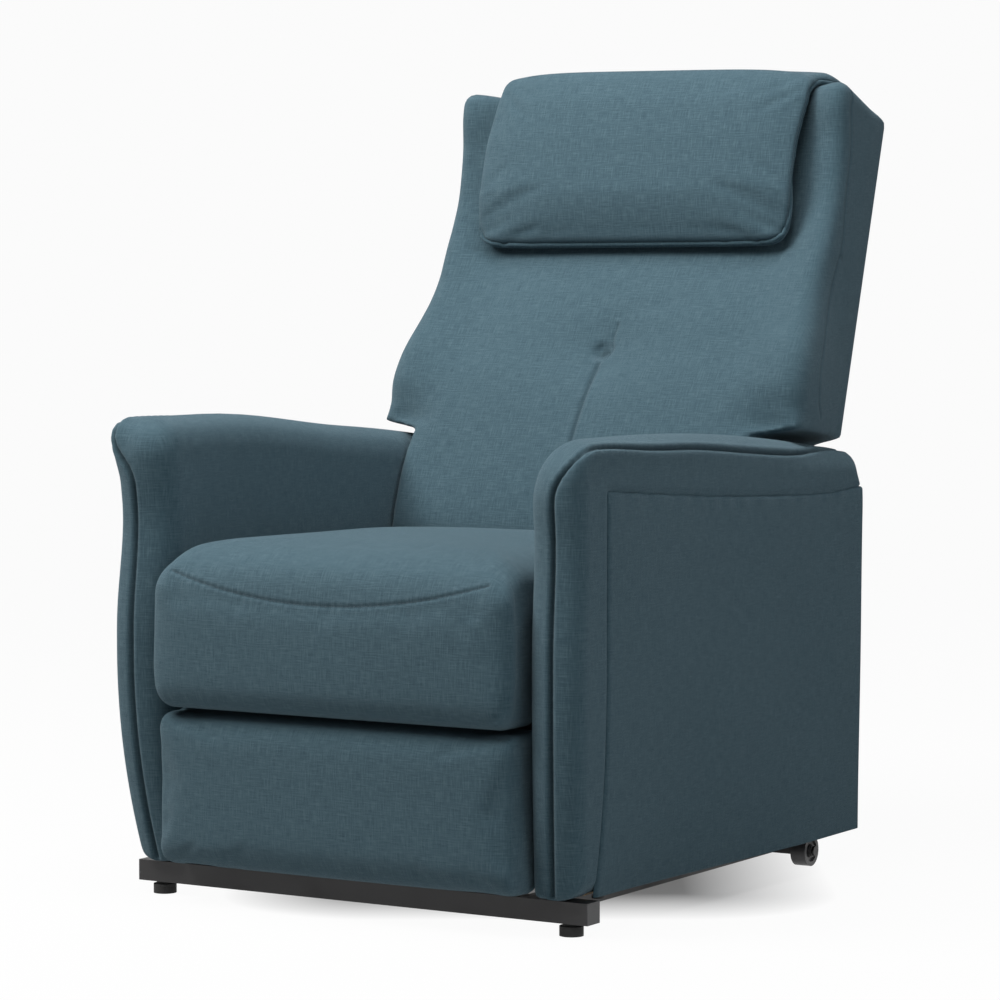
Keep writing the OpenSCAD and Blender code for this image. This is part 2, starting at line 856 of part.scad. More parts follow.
module head_pillow() {
    front = -50 - pillow_t;
    r = 20;
    outline = concat(
        [[-60, 556]],
        arc([front + r + 16, 550 + r], r, 270, 190, 5),
        [[front, 620], [front - 3, 700], [front - 2, 760]],
        arc([front + 32, back_top - 12], 30, 165, 95, 5),
        [[-46, back_top + 26], [10, back_top + 20], [66, back_top + 4],
            [66, top_line(66) + wall_gap], [-20, back_top + wall_gap],
            [-42, back_top + wall_gap], [-62, back_top + wall_gap], [-76, back_top - 18],
            [-76, 690], [-74, 640], [-64, 600]]);
    color([0.29, 0.38, 0.44]) place() on_back() slab(outline, -pillow_half, 2 * pillow_half);
}

// ---------------------------------------------------------------- hand control
module in_pocket() {
    left() translate([half_w - pocket_d + 1, pocket_y + handset_gap, pocket_z]) children();
}

// three rockers in a column, each with a recess of its own
module rocker_recess(i) {
    translate([handset_t - rocker_depth - 2.5, (handset_w - rocker_w) / 2 - 0.8,
        rocker_z0 + i * rocker_pitch - rocker_l / 2 - 0.8])
        cube([rocker_depth + 4, rocker_w + 1.6, rocker_l + 1.6]);
}

module handset() {
    color([0.12, 0.12, 0.13]) place() in_pocket() difference() {
        union() {
            translate([0, 0, 8]) cube([handset_t, handset_w, handset_l - 8]);
            translate([handset_t / 2, handset_w / 2, 0]) cylinder(d = 9, h = 9);
        }
        for (i = [0 : 2]) rocker_recess(i);
        translate([handset_t / 2, handset_w / 2, -1]) cylinder(d = 4, h = 6);
    }
}

module rocker(i) {
    color([0.80, 0.80, 0.78]) place() in_pocket()
        translate([handset_t - rocker_depth, (handset_w - rocker_w) / 2,
            rocker_z0 + i * rocker_pitch - rocker_l / 2])
            cube([rocker_depth + 1.2, rocker_w, rocker_l]);
}

module rocker_lift() {
    rocker(2);
}

module rocker_legrest() {
    rocker(1);
}

module rocker_back() {
    rocker(0);
}

base_front_rail();
base_rail_caps();
base_side_rail_left();
base_side_rail_right();
base_rear_rail();
lift_bracket_left();
lift_bracket_right();
lift_clevis();
front_feet();
rear_wheel_left();
rear_wheel_right();
lift_long_link_left();
lift_long_link_right();
lift_cross_tube();
lift_short_link_left();
lift_short_link_right();
lift_actuator();
lift_actuator_rod();
side_plate_left();
side_plate_right();
crossbar_front();
crossbar_rear();
seat_rails();
seat_cross_rails();
seat_springs();
seat_cushion();
arm_left();
arm_right();
arm_boards();
side_panel_left();
side_panel_right();
arm_spacers();
arm_glides();
rear_apron();
control_box();
power_supply();
legrest_drive_links();
legrest_torque_tube();
legrest_bars();
legrest_idlers();
legrest_stay_links();
legrest_brackets();
legrest_board();
legrest_pad();
legrest_actuator();
legrest_actuator_rod();
back_brackets();
back_posts();
back_rails();
back_webbing();
back_cushion();
back_wings();
back_shell();
back_actuator();
back_actuator_rod();
head_pillow();
handset();
rocker_lift();
rocker_legrest();
rocker_back();
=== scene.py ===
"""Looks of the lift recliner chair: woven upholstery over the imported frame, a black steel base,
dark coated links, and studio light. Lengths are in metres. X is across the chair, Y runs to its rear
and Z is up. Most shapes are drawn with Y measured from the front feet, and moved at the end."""

import math

import bmesh
import bpy
import numpy as np
from mathutils import Matrix, Vector
from mathutils.bvhtree import BVHTree
from mathutils.kdtree import KDTree
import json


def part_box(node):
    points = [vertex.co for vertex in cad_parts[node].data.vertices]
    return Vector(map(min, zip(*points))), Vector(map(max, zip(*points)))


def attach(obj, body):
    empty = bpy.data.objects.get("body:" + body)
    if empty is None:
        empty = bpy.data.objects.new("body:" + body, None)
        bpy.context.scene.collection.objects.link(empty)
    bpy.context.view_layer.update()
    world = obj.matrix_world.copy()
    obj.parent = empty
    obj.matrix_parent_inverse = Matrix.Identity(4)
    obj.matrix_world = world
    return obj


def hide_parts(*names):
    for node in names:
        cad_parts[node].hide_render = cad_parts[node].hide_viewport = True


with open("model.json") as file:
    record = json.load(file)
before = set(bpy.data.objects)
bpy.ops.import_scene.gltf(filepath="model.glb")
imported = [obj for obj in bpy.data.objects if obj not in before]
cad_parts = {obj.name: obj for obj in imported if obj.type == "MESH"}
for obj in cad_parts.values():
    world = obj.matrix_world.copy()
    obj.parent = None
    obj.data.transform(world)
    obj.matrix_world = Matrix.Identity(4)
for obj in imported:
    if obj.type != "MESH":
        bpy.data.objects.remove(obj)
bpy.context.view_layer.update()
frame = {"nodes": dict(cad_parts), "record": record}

# ------------------------------------------------------------------ sizes taken from the frame
FOOT_Y = 0.010
MID_Y = FOOT_Y - (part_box("front_feet")[0][1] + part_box("front_feet")[1][1]) / 2
HALF_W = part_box("arm_right")[1][0]
ARM_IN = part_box("arm_right")[0][0]
ARM_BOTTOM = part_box("arm_right")[0][2]
ARM_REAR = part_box("arm_right")[1][1] + MID_Y
SEAT_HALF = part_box("seat_cushion")[1][0]
SEAT_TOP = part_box("seat_cushion")[1][2]
BACK_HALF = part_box("back_wings")[1][0]

RAKE = math.radians(17.3)
PIVOT = (0.600, 0.300)
BACK_TOP = 0.790
SHELL_U = 0.0745


def to_frame(points):
    """Points with Y from the front feet, in the frame."""
    moved = np.array(points, float)
    moved[:, 1] -= MID_Y
    return moved


def on_back(points):
    """Points (x, u, w) of the raked back, with u square to the rake and w along it."""
    x, u, w = np.array(points, float).T
    s, c = math.sin(RAKE), math.cos(RAKE)
    return np.stack([x, PIVOT[0] + w * s + u * c, PIVOT[1] + w * c - u * s], 1)


# ------------------------------------------------------------------ node graphs
class Graph:
    """A short way to build a node tree: add() makes a node, sets its inputs and links others."""

    def __init__(self, tree):
        self.tree = tree
        tree.nodes.clear()

    def add(self, kind, props=None, **inputs):
        node = self.tree.nodes.new(kind)
        for key, value in (props or {}).items():
            setattr(node, key, value)
        for key, value in inputs.items():
            name = key.replace("_", " ")
            spot = node.inputs[int(key[1:])] if key[0] == "i" and key[1:].isdigit() else node.inputs[name]
            if isinstance(value, bpy.types.NodeSocket):
                self.tree.links.new(value, spot)
            else:
                spot.default_value = value
        return node

    def math(self, operation, a, b=0.0, clamp=False):
        node = self.add("ShaderNodeMath", {"operation": operation, "use_clamp": clamp}, i0=a, i1=b)
        return node.outputs[0]

    def vector(self, operation, a, b=(0, 0, 0)):
        node = self.add("ShaderNodeVectorMath", {"operation": operation}, i0=a, i1=b)
        return node.outputs[0]

    def join(self, x, y, z=0.0):
        return self.add("ShaderNodeCombineXYZ", X=x, Y=y, Z=z).outputs[0]

    def noise(self, vector, scale, detail=2.0, rough=0.5):
        node = self.add("ShaderNodeTexNoise", Vector=vector, Scale=scale, Detail=detail, Roughness=rough)
        return node.outputs["Fac"]

    def ramp(self, value, low, high, out_low=0.0, out_high=1.0):
        node = self.add("ShaderNodeMapRange", None, Value=value, From_Min=low, From_Max=high,
                        To_Min=out_low, To_Max=out_high)
        return node.outputs[0]

    def mix(self, factor, a, b, blend="MIX"):
        node = self.add("ShaderNodeMix", {"data_type": "RGBA", "blend_type": blend},
                        i0=factor, i6=a, i7=b)
        return node.outputs[2]


def group_tree(name, inputs, outputs):
    tree = bpy.data.node_groups.new(name, "ShaderNodeTree")
    for label, kind, value in inputs:
        socket = tree.interface.new_socket(label, in_out="INPUT", socket_type="NodeSocket" + kind)
        if value is not None:
            socket.default_value = value
    for label, kind in outputs:
        tree.interface.new_socket(label, in_out="OUTPUT", socket_type="NodeSocket" + kind)
    graph = Graph(tree)
    ends = graph.add("NodeGroupInput"), graph.add("NodeGroupOutput")
    return tree, graph, ends[0].outputs, ends[1].inputs


def woven_group():
    """Melange plain weave, laid on the surface from the side that it faces most.
    Height is the threads' relief, Shade their light and dark, Slub the thicker yarns."""
    tree, g, given, out = group_tree(
        "woven cloth",
        [("Place", "Vector", None), ("Facing", "Vector", None), ("Thread", "Float", 0.0009)],
        [("Height", "Float"), ("Shade", "Float"), ("Slub", "Float")])
    split = g.add("ShaderNodeSeparateXYZ", Vector=given["Place"]).outputs
    facing = g.add("ShaderNodeSeparateXYZ", Vector=g.vector("ABSOLUTE", given["Facing"])).outputs
    weights = [g.math("POWER", facing[k], 6.0) for k in range(3)]
    total = g.math("ADD", g.math("ADD", weights[0], weights[1]), g.math("ADD", weights[2], 1e-4))
    pairs = ((split[1], split[2]), (split[0], split[2]), (split[0], split[1]))
    sums = [None, None, None]
    for k, (a, b) in enumerate(pairs):
        share = g.math("DIVIDE", weights[k], total)
        fine_a, fine_b = (g.math("DIVIDE", v, given["Thread"]) for v in (a, b))
        wave_a = g.math("SINE", g.math("MULTIPLY", fine_a, math.pi))
        wave_b = g.math("SINE", g.math("MULTIPLY", fine_b, math.pi))
        over = g.ramp(g.math("MULTIPLY", wave_a, wave_b), -0.15, 0.15)
        up = g.math("MULTIPLY", g.math("ABSOLUTE", wave_a), over)
        across = g.math("MULTIPLY", g.math("ABSOLUTE", wave_b), g.math("SUBTRACT", 1.0, over))
        height = g.math("ADD", up, across)
        warp = g.noise(g.join(g.math("MULTIPLY", fine_a, 0.55), g.math("MULTIPLY", fine_b, 0.045), k * 7.0),
                       1.0, 1.5)
        weft = g.noise(g.join(g.math("MULTIPLY", fine_a, 0.045), g.math("MULTIPLY", fine_b, 0.55), k * 5.0 + 3),
                       1.0, 1.5)
        shade = g.math("ADD", g.math("MULTIPLY", warp, 0.5), g.math("MULTIPLY", weft, 0.5))
        slub = g.ramp(g.math("MAXIMUM", warp, weft), 0.62, 0.78)
        for i, value in enumerate((height, shade, slub)):
            part = g.math("MULTIPLY", value, share)
            sums[i] = part if sums[i] is None else g.math("ADD", sums[i], part)
    for i in range(3):
        g.tree.links.new(sums[i], out[i])
    return tree


def scuff_group():
    """Fine grain and wandering wear for hard parts: Grain is its relief, Wear a soft mask."""
    tree, g, given, out = group_tree(
        "grain and wear",
        [("Place", "Vector", None), ("Grain Size", "Float", 0.0006), ("Wear Size", "Float", 0.05)],
        [("Grain", "Float"), ("Wear", "Float"), ("Streak", "Float")])
    fine = g.noise(given["Place"], g.math("DIVIDE", 1.0, given["Grain Size"]), 2.0)
    wide = g.noise(given["Place"], g.math("DIVIDE", 1.0, given["Wear Size"]), 5.0, 0.65)
    parts = g.add("ShaderNodeSeparateXYZ", Vector=given["Place"]).outputs
    long = g.join(g.math("MULTIPLY", parts[0], 6.0), g.math("MULTIPLY", parts[1], 90.0),
                  g.math("MULTIPLY", parts[2], 90.0))
    streak = g.noise(long, 3.0, 3.0)
    g.tree.links.new(fine, out["Grain"])
    g.tree.links.new(g.ramp(wide, 0.48, 0.72), out["Wear"])
    g.tree.links.new(streak, out["Streak"])
    return tree


WOVEN = woven_group()
SCUFF = scuff_group()


def new_material(name):
    material = bpy.data.materials.new(name)
    material.use_nodes = True
    return material, Graph(material.node_tree)


def bump(g, height, strength, distance):
    return g.add("ShaderNodeBump", Height=height, Strength=strength, Distance=distance).outputs[0]


def upholstery(name, colour, light, dark, thread=0.0009, sheen=0.25):
    """Woven melange cloth. The seam attribute paints shade into the pressed lines of the sewing and around the
    back's tuft.
    """
    material, g = new_material(name)
    at = g.add("ShaderNodeTexCoord").outputs
    cloth = g.add("ShaderNodeGroup", {"node_tree": WOVEN}, Place=at["Object"], Facing=at["Normal"],
                  Thread=thread).outputs
    patches = g.noise(at["Object"], 9.0, 3.0, 0.6)
    heather = g.noise(at["Object"], 160.0, 3.0, 0.7)
    base = g.mix(g.ramp(cloth["Shade"], 0.36, 0.64), dark, light)
    base = g.mix(g.ramp(heather, 0.35, 0.65, 0.25, 0.75), base, colour)
    base = g.mix(g.math("MULTIPLY", cloth["Slub"], 0.35), base, light)
    # Painted shade: the low places of the weave, between the threads, are darkened.
    base = g.mix(g.ramp(cloth["Height"], 0.25, 0.9, 0.30, 0.0), base, dark)
    base = g.mix(g.ramp(patches, 0.3, 0.7, 0.0, 0.08), base, dark)
    # Painted shade: where the seam attribute is high, the colour goes toward a very dark blue, for the shade in
    # sewn grooves and the tuft's hollow.
    seam = g.add("ShaderNodeAttribute", {"attribute_name": "seam"}).outputs["Fac"]
    base = g.mix(g.math("MULTIPLY", seam, 0.62), base, [c * 0.25 for c in dark[:3]] + [1])
    relief = g.math("ADD", cloth["Height"], g.math("MULTIPLY", heather, 0.8))
    shader = g.add("ShaderNodeBsdfPrincipled", Base_Color=base, Roughness=0.92, Sheen_Weight=sheen,
                   Sheen_Roughness=0.45, Sheen_Tint=(0.62, 0.80, 0.90, 1), Specular_IOR_Level=0.22,
                   Normal=bump(g, relief, 0.55, 0.0006))
    g.add("ShaderNodeOutputMaterial", Surface=shader.outputs[0])
    return material


def hard(name, colour, worn, rough=(0.45, 0.6), metal=0.0, grain=0.0006, depth=0.00012, streaky=0.0,
         coat=0.0):
    """Painted steel, plated steel, moulded plastic, rubber: grain, wear and an uneven gloss."""
    material, g = new_material(name)
    at = g.add("ShaderNodeTexCoord").outputs
    marks = g.add("ShaderNodeGroup", {"node_tree": SCUFF}, Place=at["Object"], Grain_Size=grain).outputs
    base = g.mix(g.math("MULTIPLY", marks["Wear"], 0.5), colour, worn)
    if streaky:
        base = g.mix(g.ramp(marks["Streak"], 0.35, 0.7, 0.0, streaky), base, worn)
    gloss = g.ramp(marks["Wear"], 0.0, 1.0, rough[0], rough[1])
    shader = g.add("ShaderNodeBsdfPrincipled", Base_Color=base, Roughness=gloss, Metallic=metal,
                   Coat_Weight=coat, Normal=bump(g, marks["Grain"], 0.5, depth))
    g.add("ShaderNodeOutputMaterial", Surface=shader.outputs[0])
    return material


def timber(name, colour, dark):
    """Plywood and softwood of the hidden frame: long grain along X with darker lines."""
    material, g = new_material(name)
    at = g.add("ShaderNodeTexCoord").outputs["Object"]
    bend = g.noise(at, 6.0, 2.0)
    parts = g.add("ShaderNodeSeparateXYZ", Vector=at).outputs
    lines = g.noise(g.join(g.math("MULTIPLY", parts[0], 3.0),
                           g.math("ADD", g.math("MULTIPLY", parts[1], 70.0), bend),
                           g.math("MULTIPLY", parts[2], 70.0)), 2.0, 4.0, 0.6)
    base = g.mix(g.ramp(lines, 0.42, 0.68), colour, dark)
    shader = g.add("ShaderNodeBsdfPrincipled", Base_Color=base,
                   Roughness=g.ramp(lines, 0.3, 0.7, 0.55, 0.75), Normal=bump(g, lines, 0.4, 0.0004))
    g.add("ShaderNodeOutputMaterial", Surface=shader.outputs[0])
    return material


SLATE = upholstery("slate weave", (0.056, 0.103, 0.130, 1), (0.100, 0.166, 0.198, 1),
                   (0.032, 0.068, 0.090, 1))
WELT = upholstery("slate welt", (0.050, 0.098, 0.124, 1), (0.092, 0.160, 0.192, 1),
                  (0.028, 0.060, 0.080, 1), thread=0.0007)
WEB = upholstery("jute webbing", (0.42, 0.36, 0.25, 1), (0.55, 0.48, 0.36, 1), (0.30, 0.25, 0.17, 1),
                 thread=0.0016, sheen=0.1)
THREAD = hard("sewing thread", (0.060, 0.095, 0.120, 1), (0.080, 0.120, 0.145, 1), (0.75, 0.9),
              grain=0.0004)
POWDER = hard("black powder coat", (0.030, 0.029, 0.030, 1), (0.046, 0.044, 0.044, 1), (0.42, 0.58),
              grain=0.0007, depth=0.00016)
# Dark coated links, kept near black also as painted shade for the gaps beside the legrest where they show.
LINKS = hard("dark coated links", (0.055, 0.055, 0.058, 1), (0.11, 0.11, 0.115, 1), (0.34, 0.48), 0.3,
             streaky=0.3)
ROD = hard("polished rod", (0.62, 0.63, 0.64, 1), (0.50, 0.50, 0.50, 1), (0.16, 0.26), 1.0,
           grain=0.0012, depth=0.00004, streaky=0.25)
SPRING = hard("spring wire", (0.30, 0.30, 0.31, 1), (0.20, 0.19, 0.19, 1), (0.3, 0.45), 0.9)
RUBBER = hard("black rubber", (0.022, 0.022, 0.022, 1), (0.040, 0.039, 0.038, 1), (0.72, 0.88),
              grain=0.0009, depth=0.00025)
PLASTIC = hard("moulded black plastic", (0.028, 0.028, 0.030, 1), (0.044, 0.044, 0.046, 1),
               (0.38, 0.55), grain=0.0005, depth=0.00018)
KEYS = hard("pale keys", (0.56, 0.57, 0.57, 1), (0.48, 0.49, 0.49, 1), (0.4, 0.55), grain=0.0004)
HUB = hard("grey wheel face", (0.085, 0.083, 0.085, 1), (0.11, 0.108, 0.11, 1), (0.4, 0.6))
PLY = timber("plywood", (0.52, 0.36, 0.20, 1), (0.34, 0.21, 0.10, 1))

FINISHES = {"frame_black": POWDER, "link_steel": LINKS, "ram_steel": ROD, "plywood": PLY,
            "fabric_blue": SLATE, "webbing": WEB, "black_plastic": PLASTIC, "spring_steel": SPRING,
            "light_plastic": KEYS}


# ------------------------------------------------------------------ forms
def smooth_step(value, low, high):
    t = np.clip((value - low) / (high - low), 0, 1)
    return t * t * (3 - 2 * t)


def smooth_line(points, count=160):
    """A Catmull-Rom curve through the points."""
    p = np.array(points, float)
    p = np.vstack([2 * p[0] - p[1], p, 2 * p[-1] - p[-2]])
    t = np.linspace(0, len(p) - 3 - 1e-9, count)
    k = t.astype(int)
    f = (t - k)[:, None]
    a, b, c, d = p[k], p[k + 1], p[k + 2], p[k + 3]
    return 0.5 * (2 * b + (c - a) * f + (2 * a - 5 * b + 4 * c - d) * f ** 2
                  + (3 * b - a - 3 * c + d) * f ** 3)


def arc(centre, radius, start, end, count):
    angles = np.radians(np.linspace(start, end, count + 1))
    return np.stack([centre[0] + radius * np.cos(angles), centre[1] + radius * np.sin(angles)], 1)


class Outline:
    """Signed distance to a closed outline, kept on a grid and slightly blurred, so that its
    corners come out round."""

    def __init__(self, points, step=0.003, blur=2, margin=0.06):
        p = np.array(points, float)
        self.low = p.min(0) - margin
        self.step = step
        count = np.ceil((p.max(0) + margin - self.low) / step).astype(int) + 1
        a, b = np.meshgrid(self.low[0] + step * np.arange(count[0]),
                           self.low[1] + step * np.arange(count[1]), indexing="ij")
        nearest = np.full(a.shape, 1e9)
        inside = np.zeros(a.shape, bool)
        for (x0, y0), (x1, y1) in zip(p, np.roll(p, -1, axis=0)):
            dx, dy = x1 - x0, y1 - y0
            t = np.clip(((a - x0) * dx + (b - y0) * dy) / max(dx * dx + dy * dy, 1e-12), 0, 1)
            nearest = np.minimum(nearest, (a - x0 - t * dx) ** 2 + (b - y0 - t * dy) ** 2)
            if dy:
                inside ^= ((y0 > b) != (y1 > b)) & (a < x0 + dx * (b - y0) / dy)
        grid = np.where(inside, -1, 1) * np.sqrt(nearest)
        for _ in range(blur):
            for axis in (0, 1):
                padded = np.concatenate([grid.take([0], axis), grid, grid.take([-1], axis)], axis)
                n = grid.shape[axis]
                grid = (padded.take(range(0, n), axis) + 2 * padded.take(range(1, n + 1), axis)
                        + padded.take(range(2, n + 2), axis)) / 4
        self.grid = grid

    def __call__(self, a, b):
        i = np.clip((a - self.low[0]) / self.step, 0, self.grid.shape[0] - 1.001)
        j = np.clip((b - self.low[1]) / self.step, 0, self.grid.shape[1] - 1.001)
        i0, j0 = i.astype(int), j.astype(int)
        f, h = i - i0, j - j0
        g = self.grid
        return ((g[i0, j0] * (1 - f) + g[i0 + 1, j0] * f) * (1 - h)
                + (g[i0, j0 + 1] * (1 - f) + g[i0 + 1, j0 + 1] * f) * h)


def rounded(a, b, r):
    """Both fields at once, with their common edge rounded to radius r."""
    return (np.hypot(np.maximum(a + r, 0), np.maximum(b + r, 0))
            + np.minimum(np.maximum(a + r, b + r), 0) - r)


def read_points(obj):
    flat = np.empty(len(obj.data.vertices) * 3)
    obj.data.vertices.foreach_get("co", flat)
    return flat.reshape(-1, 3)


def write_points(obj, points):
    obj.data.vertices.foreach_set("co", np.ascontiguousarray(points, float).ravel())
    obj.data.update()


def mesh_object(name, verts, faces):
    mesh = bpy.data.meshes.new(name)
    mesh.from_pydata([tuple(v) for v in verts], [], [tuple(int(i) for i in f) for f in faces])
    obj = bpy.data.objects.new(name, mesh)
    bpy.context.scene.collection.objects.link(obj)
    return obj


def apply_modifiers(obj):
    """Turns the evaluated shape into the object's own plain mesh."""
    graph = bpy.context.evaluated_depsgraph_get()
    mesh = bpy.data.meshes.new_from_object(obj.evaluated_get(graph))
    old = obj.data
    obj.modifiers.clear()
    obj.data = mesh
    mesh.name = obj.name
    bpy.data.meshes.remove(old)
    return obj


def prism(name, outline, x0, x1):
    """The rough block that a padded piece starts from: an outline in Y and Z, extruded along X."""
    n = len(outline)
    verts = [(x, y, z) for x in (x0, x1) for y, z in outline]
    faces = [tuple(range(n)), tuple(range(2 * n - 1, n - 1, -1))]
    faces += [(i, i + n, (i + 1) % n + n, (i + 1) % n) for i in range(n)]
    obj = mesh_object(name, verts, faces)
    tidy = bmesh.new()
    tidy.from_mesh(obj.data)
    bmesh.ops.recalc_face_normals(tidy, faces=tidy.faces)
    tidy.to_mesh(obj.data)
    tidy.free()
    return obj


def remesh(obj, voxel):
    grid = obj.modifiers.new("voxels", "REMESH")
    grid.mode = "VOXEL"
    grid.voxel_size = voxel
    return apply_modifiers(obj)


def settle(obj, field, rounds=7, reach=0.006):
    """Moves every point onto the field's surface, where the field is zero."""
    p = read_points(obj)
    h = 0.0008
    for _ in range(rounds):
        value = field(p)
        slope = np.stack([(field(p + np.eye(3)[k] * h) - value) / h for k in range(3)], 1)
        size = np.maximum((slope ** 2).sum(1), 0.05)
        move = -(value / size)[:, None] * slope
        length = np.linalg.norm(move, axis=1, keepdims=True)
        p = p + move * np.minimum(1, reach / np.maximum(length, 1e-9))
    write_points(obj, p)
    return obj


def relax(obj, field, rounds=2):
    """Evens out the mesh, and settles it again."""
    for _ in range(rounds):
        even = bmesh.new()
        even.from_mesh(obj.data)
        bmesh.ops.smooth_vert(even, verts=even.verts, factor=0.5, use_axis_x=True, use_axis_y=True,
                              use_axis_z=True)
        even.to_mesh(obj.data)
        even.free()
        settle(obj, field, 3)
    return obj


def swell(obj, held, pressure, cap, frames=20):
    """Cloth pressure fills the cover from inside. held tells which points stay where they are
    sewn or glued to the frame, and cap is how far the others may move."""
    start = read_points(obj)
    group = obj.vertex_groups.new(name="held")
    group.add([int(i) for i in np.nonzero(held)[0]], 1.0, "REPLACE")
    cloth = obj.modifiers.new("cloth", "CLOTH")
    setting = cloth.settings
    setting.quality = 5
    setting.mass = 0.4
    setting.tension_stiffness = 18
    setting.compression_stiffness = 18
    setting.bending_stiffness = 0.8
    setting.use_pressure = True
    setting.uniform_pressure_force = pressure
    setting.vertex_group_mass = "held"
    setting.effector_weights.gravity = 0
    cloth.collision_settings.use_collision = False
    cloth.point_cache.frame_start = 1
    cloth.point_cache.frame_end = frames
    scene = bpy.context.scene
    for number in range(1, frames + 1):
        scene.frame_set(number)
    apply_modifiers(obj)
    scene.frame_set(1)
    move = read_points(obj) - start
    length = np.linalg.norm(move, axis=1, keepdims=True)
    write_points(obj, start + move * (cap / np.maximum(length + cap, 1e-9)) * (length > 0))
    obj.vertex_groups.clear()
    return obj


def path_tree(paths):
    points = [q for path in paths for q in dense(path, 0.0015)]
    tree = KDTree(len(points))
    for i, q in enumerate(points):
        tree.insert(q, i)
    tree.balance()
    return tree


def dense(path, step):
    """The path with a point every step."""
    p = np.array(path, float)
    run = np.r_[0, np.cumsum(np.linalg.norm(np.diff(p, axis=0), axis=1))]
    s = np.linspace(0, run[-1], max(int(run[-1] / step), 2))
    return np.stack([np.interp(s, run, p[:, k]) for k in range(3)], 1)


def refine(obj, paths, reach, cuts=1):
    """Smaller faces near the sewn lines."""
    tree = path_tree(paths)
    fine = bmesh.new()
    fine.from_mesh(obj.data)
    near = set()
    for v in fine.verts:
        if tree.find(v.co)[2] < reach:
            near.add(v)
    edges = [e for e in fine.edges if e.verts[0] in near or e.verts[1] in near]
    bmesh.ops.subdivide_edges(fine, edges=edges, cuts=cuts, use_grid_fill=True)
    fine.to_mesh(obj.data)
    fine.free()
    return obj


def press(obj, paths, depth, width, shade=1.0, pucker=0.0, pitch=0.02):
    """Pulls the cover in along sewn lines, swells it a little on both sides, and paints shade along the line
    through the seam attribute. pucker adds short gathers across the line."""
    tree = path_tree(paths)
    p = read_points(obj)
    normals = np.array([v.normal for v in obj.data.vertices])
    away = np.full(len(p), 1.0)
    along = np.zeros(len(p))
    for i, q in enumerate(p):
        _, index, distance = tree.find(q)
        away[i] = distance
        along[i] = index * 0.0015
    groove = np.exp(-(away / width) ** 2)
    side = np.exp(-((away - 2.6 * width) / (1.3 * width)) ** 2)
    gather = pucker * np.sin(2 * math.pi * along / pitch) * np.exp(-((away - 2 * width) / (3 * width)) ** 2)
    move = -depth * groove + 0.22 * depth * side + gather
    write_points(obj, p + normals * move[:, None])
    # Painted shade in the groove, scaled by shade.
    paint_seam_shade(obj, groove * shade)
    return obj


def paint_seam_shade(obj, amount):
    """Adds painted shade to the seam attribute, which the cloth's material reads."""
    layer = obj.data.attributes.get("seam") or obj.data.attributes.new("seam", "FLOAT", "POINT")
    old = np.empty(len(amount), np.float32)
    layer.data.foreach_get("value", old)
    layer.data.foreach_set("value", np.clip(np.maximum(old, amount), 0, 1).astype(np.float32))


def lay_on(obj, path, lift=0.0):
    """The path's points, moved onto the nearest place of the object's surface."""
    points = [tuple(v.co) for v in obj.data.vertices]
    tree = BVHTree.FromPolygons(points, [tuple(f.vertices) for f in obj.data.polygons])
    laid = []
    for q in path:
        place, normal, _, _ = tree.find_nearest(Vector(q))
        laid.append(place + normal * lift)
    return np.array(laid)


def finish_piece(obj, material, body, stands_for=(), shift=True,
                 smooth=True):
    """Moves a finished shape into the frame, and gives it its material and body."""
    if shift:
        write_points(obj, to_frame(read_points(obj)))
    if material is not None:
        obj.data.materials.clear()
        obj.data.materials.append(material)
    if smooth:
        obj.data.polygons.foreach_set("use_smooth", [True] * len(obj.data.polygons))
    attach(obj, body)
    if stands_for:
        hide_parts(*stands_for)
    return obj


# ------------------------------------------------------------------ repeated work by geometry nodes
def geometry_tree(name, inputs):
    tree = bpy.data.node_groups.new(name, "GeometryNodeTree")
    tree.interface.new_socket("Geometry", in_out="INPUT", socket_type="NodeSocketGeometry")
    for label, kind, value in inputs:
        socket = tree.interface.new_socket(label, in_out="INPUT", socket_type="NodeSocket" + kind)
        if value is not None:
            socket.default_value = value
    tree.interface.new_socket("Geometry", in_out="OUTPUT", socket_type="NodeSocketGeometry")
    graph = Graph(tree)
    return tree, graph, graph.add("NodeGroupInput").outputs, graph.add("NodeGroupOutput").inputs


def welt_tree():
    """A round cord, covered in cloth, along a path."""
    tree, g, given, out = geometry_tree("welt", [("Radius", "Float", 0.003), ("Step", "Float", 0.006),
                                                 ("Cloth", "Material", None)])
    line = g.add("GeometryNodeResampleCurve", {"mode": "LENGTH"}, Curve=given["Geometry"],
                 Length=given["Step"])
    ring = g.add("GeometryNodeCurvePrimitiveCircle", None, Resolution=12, Radius=given["Radius"])
    tube = g.add("GeometryNodeCurveToMesh", None, Curve=line.outputs[0], Profile_Curve=ring.outputs[0],
                 Fill_Caps=True)
    soft = g.add("GeometryNodeSetShadeSmooth", None, Geometry=tube.outputs[0])
    done = g.add("GeometryNodeSetMaterial", None, Geometry=soft.outputs[0], Material=given["Cloth"])
    tree.links.new(done.outputs[0], out["Geometry"])
    return tree


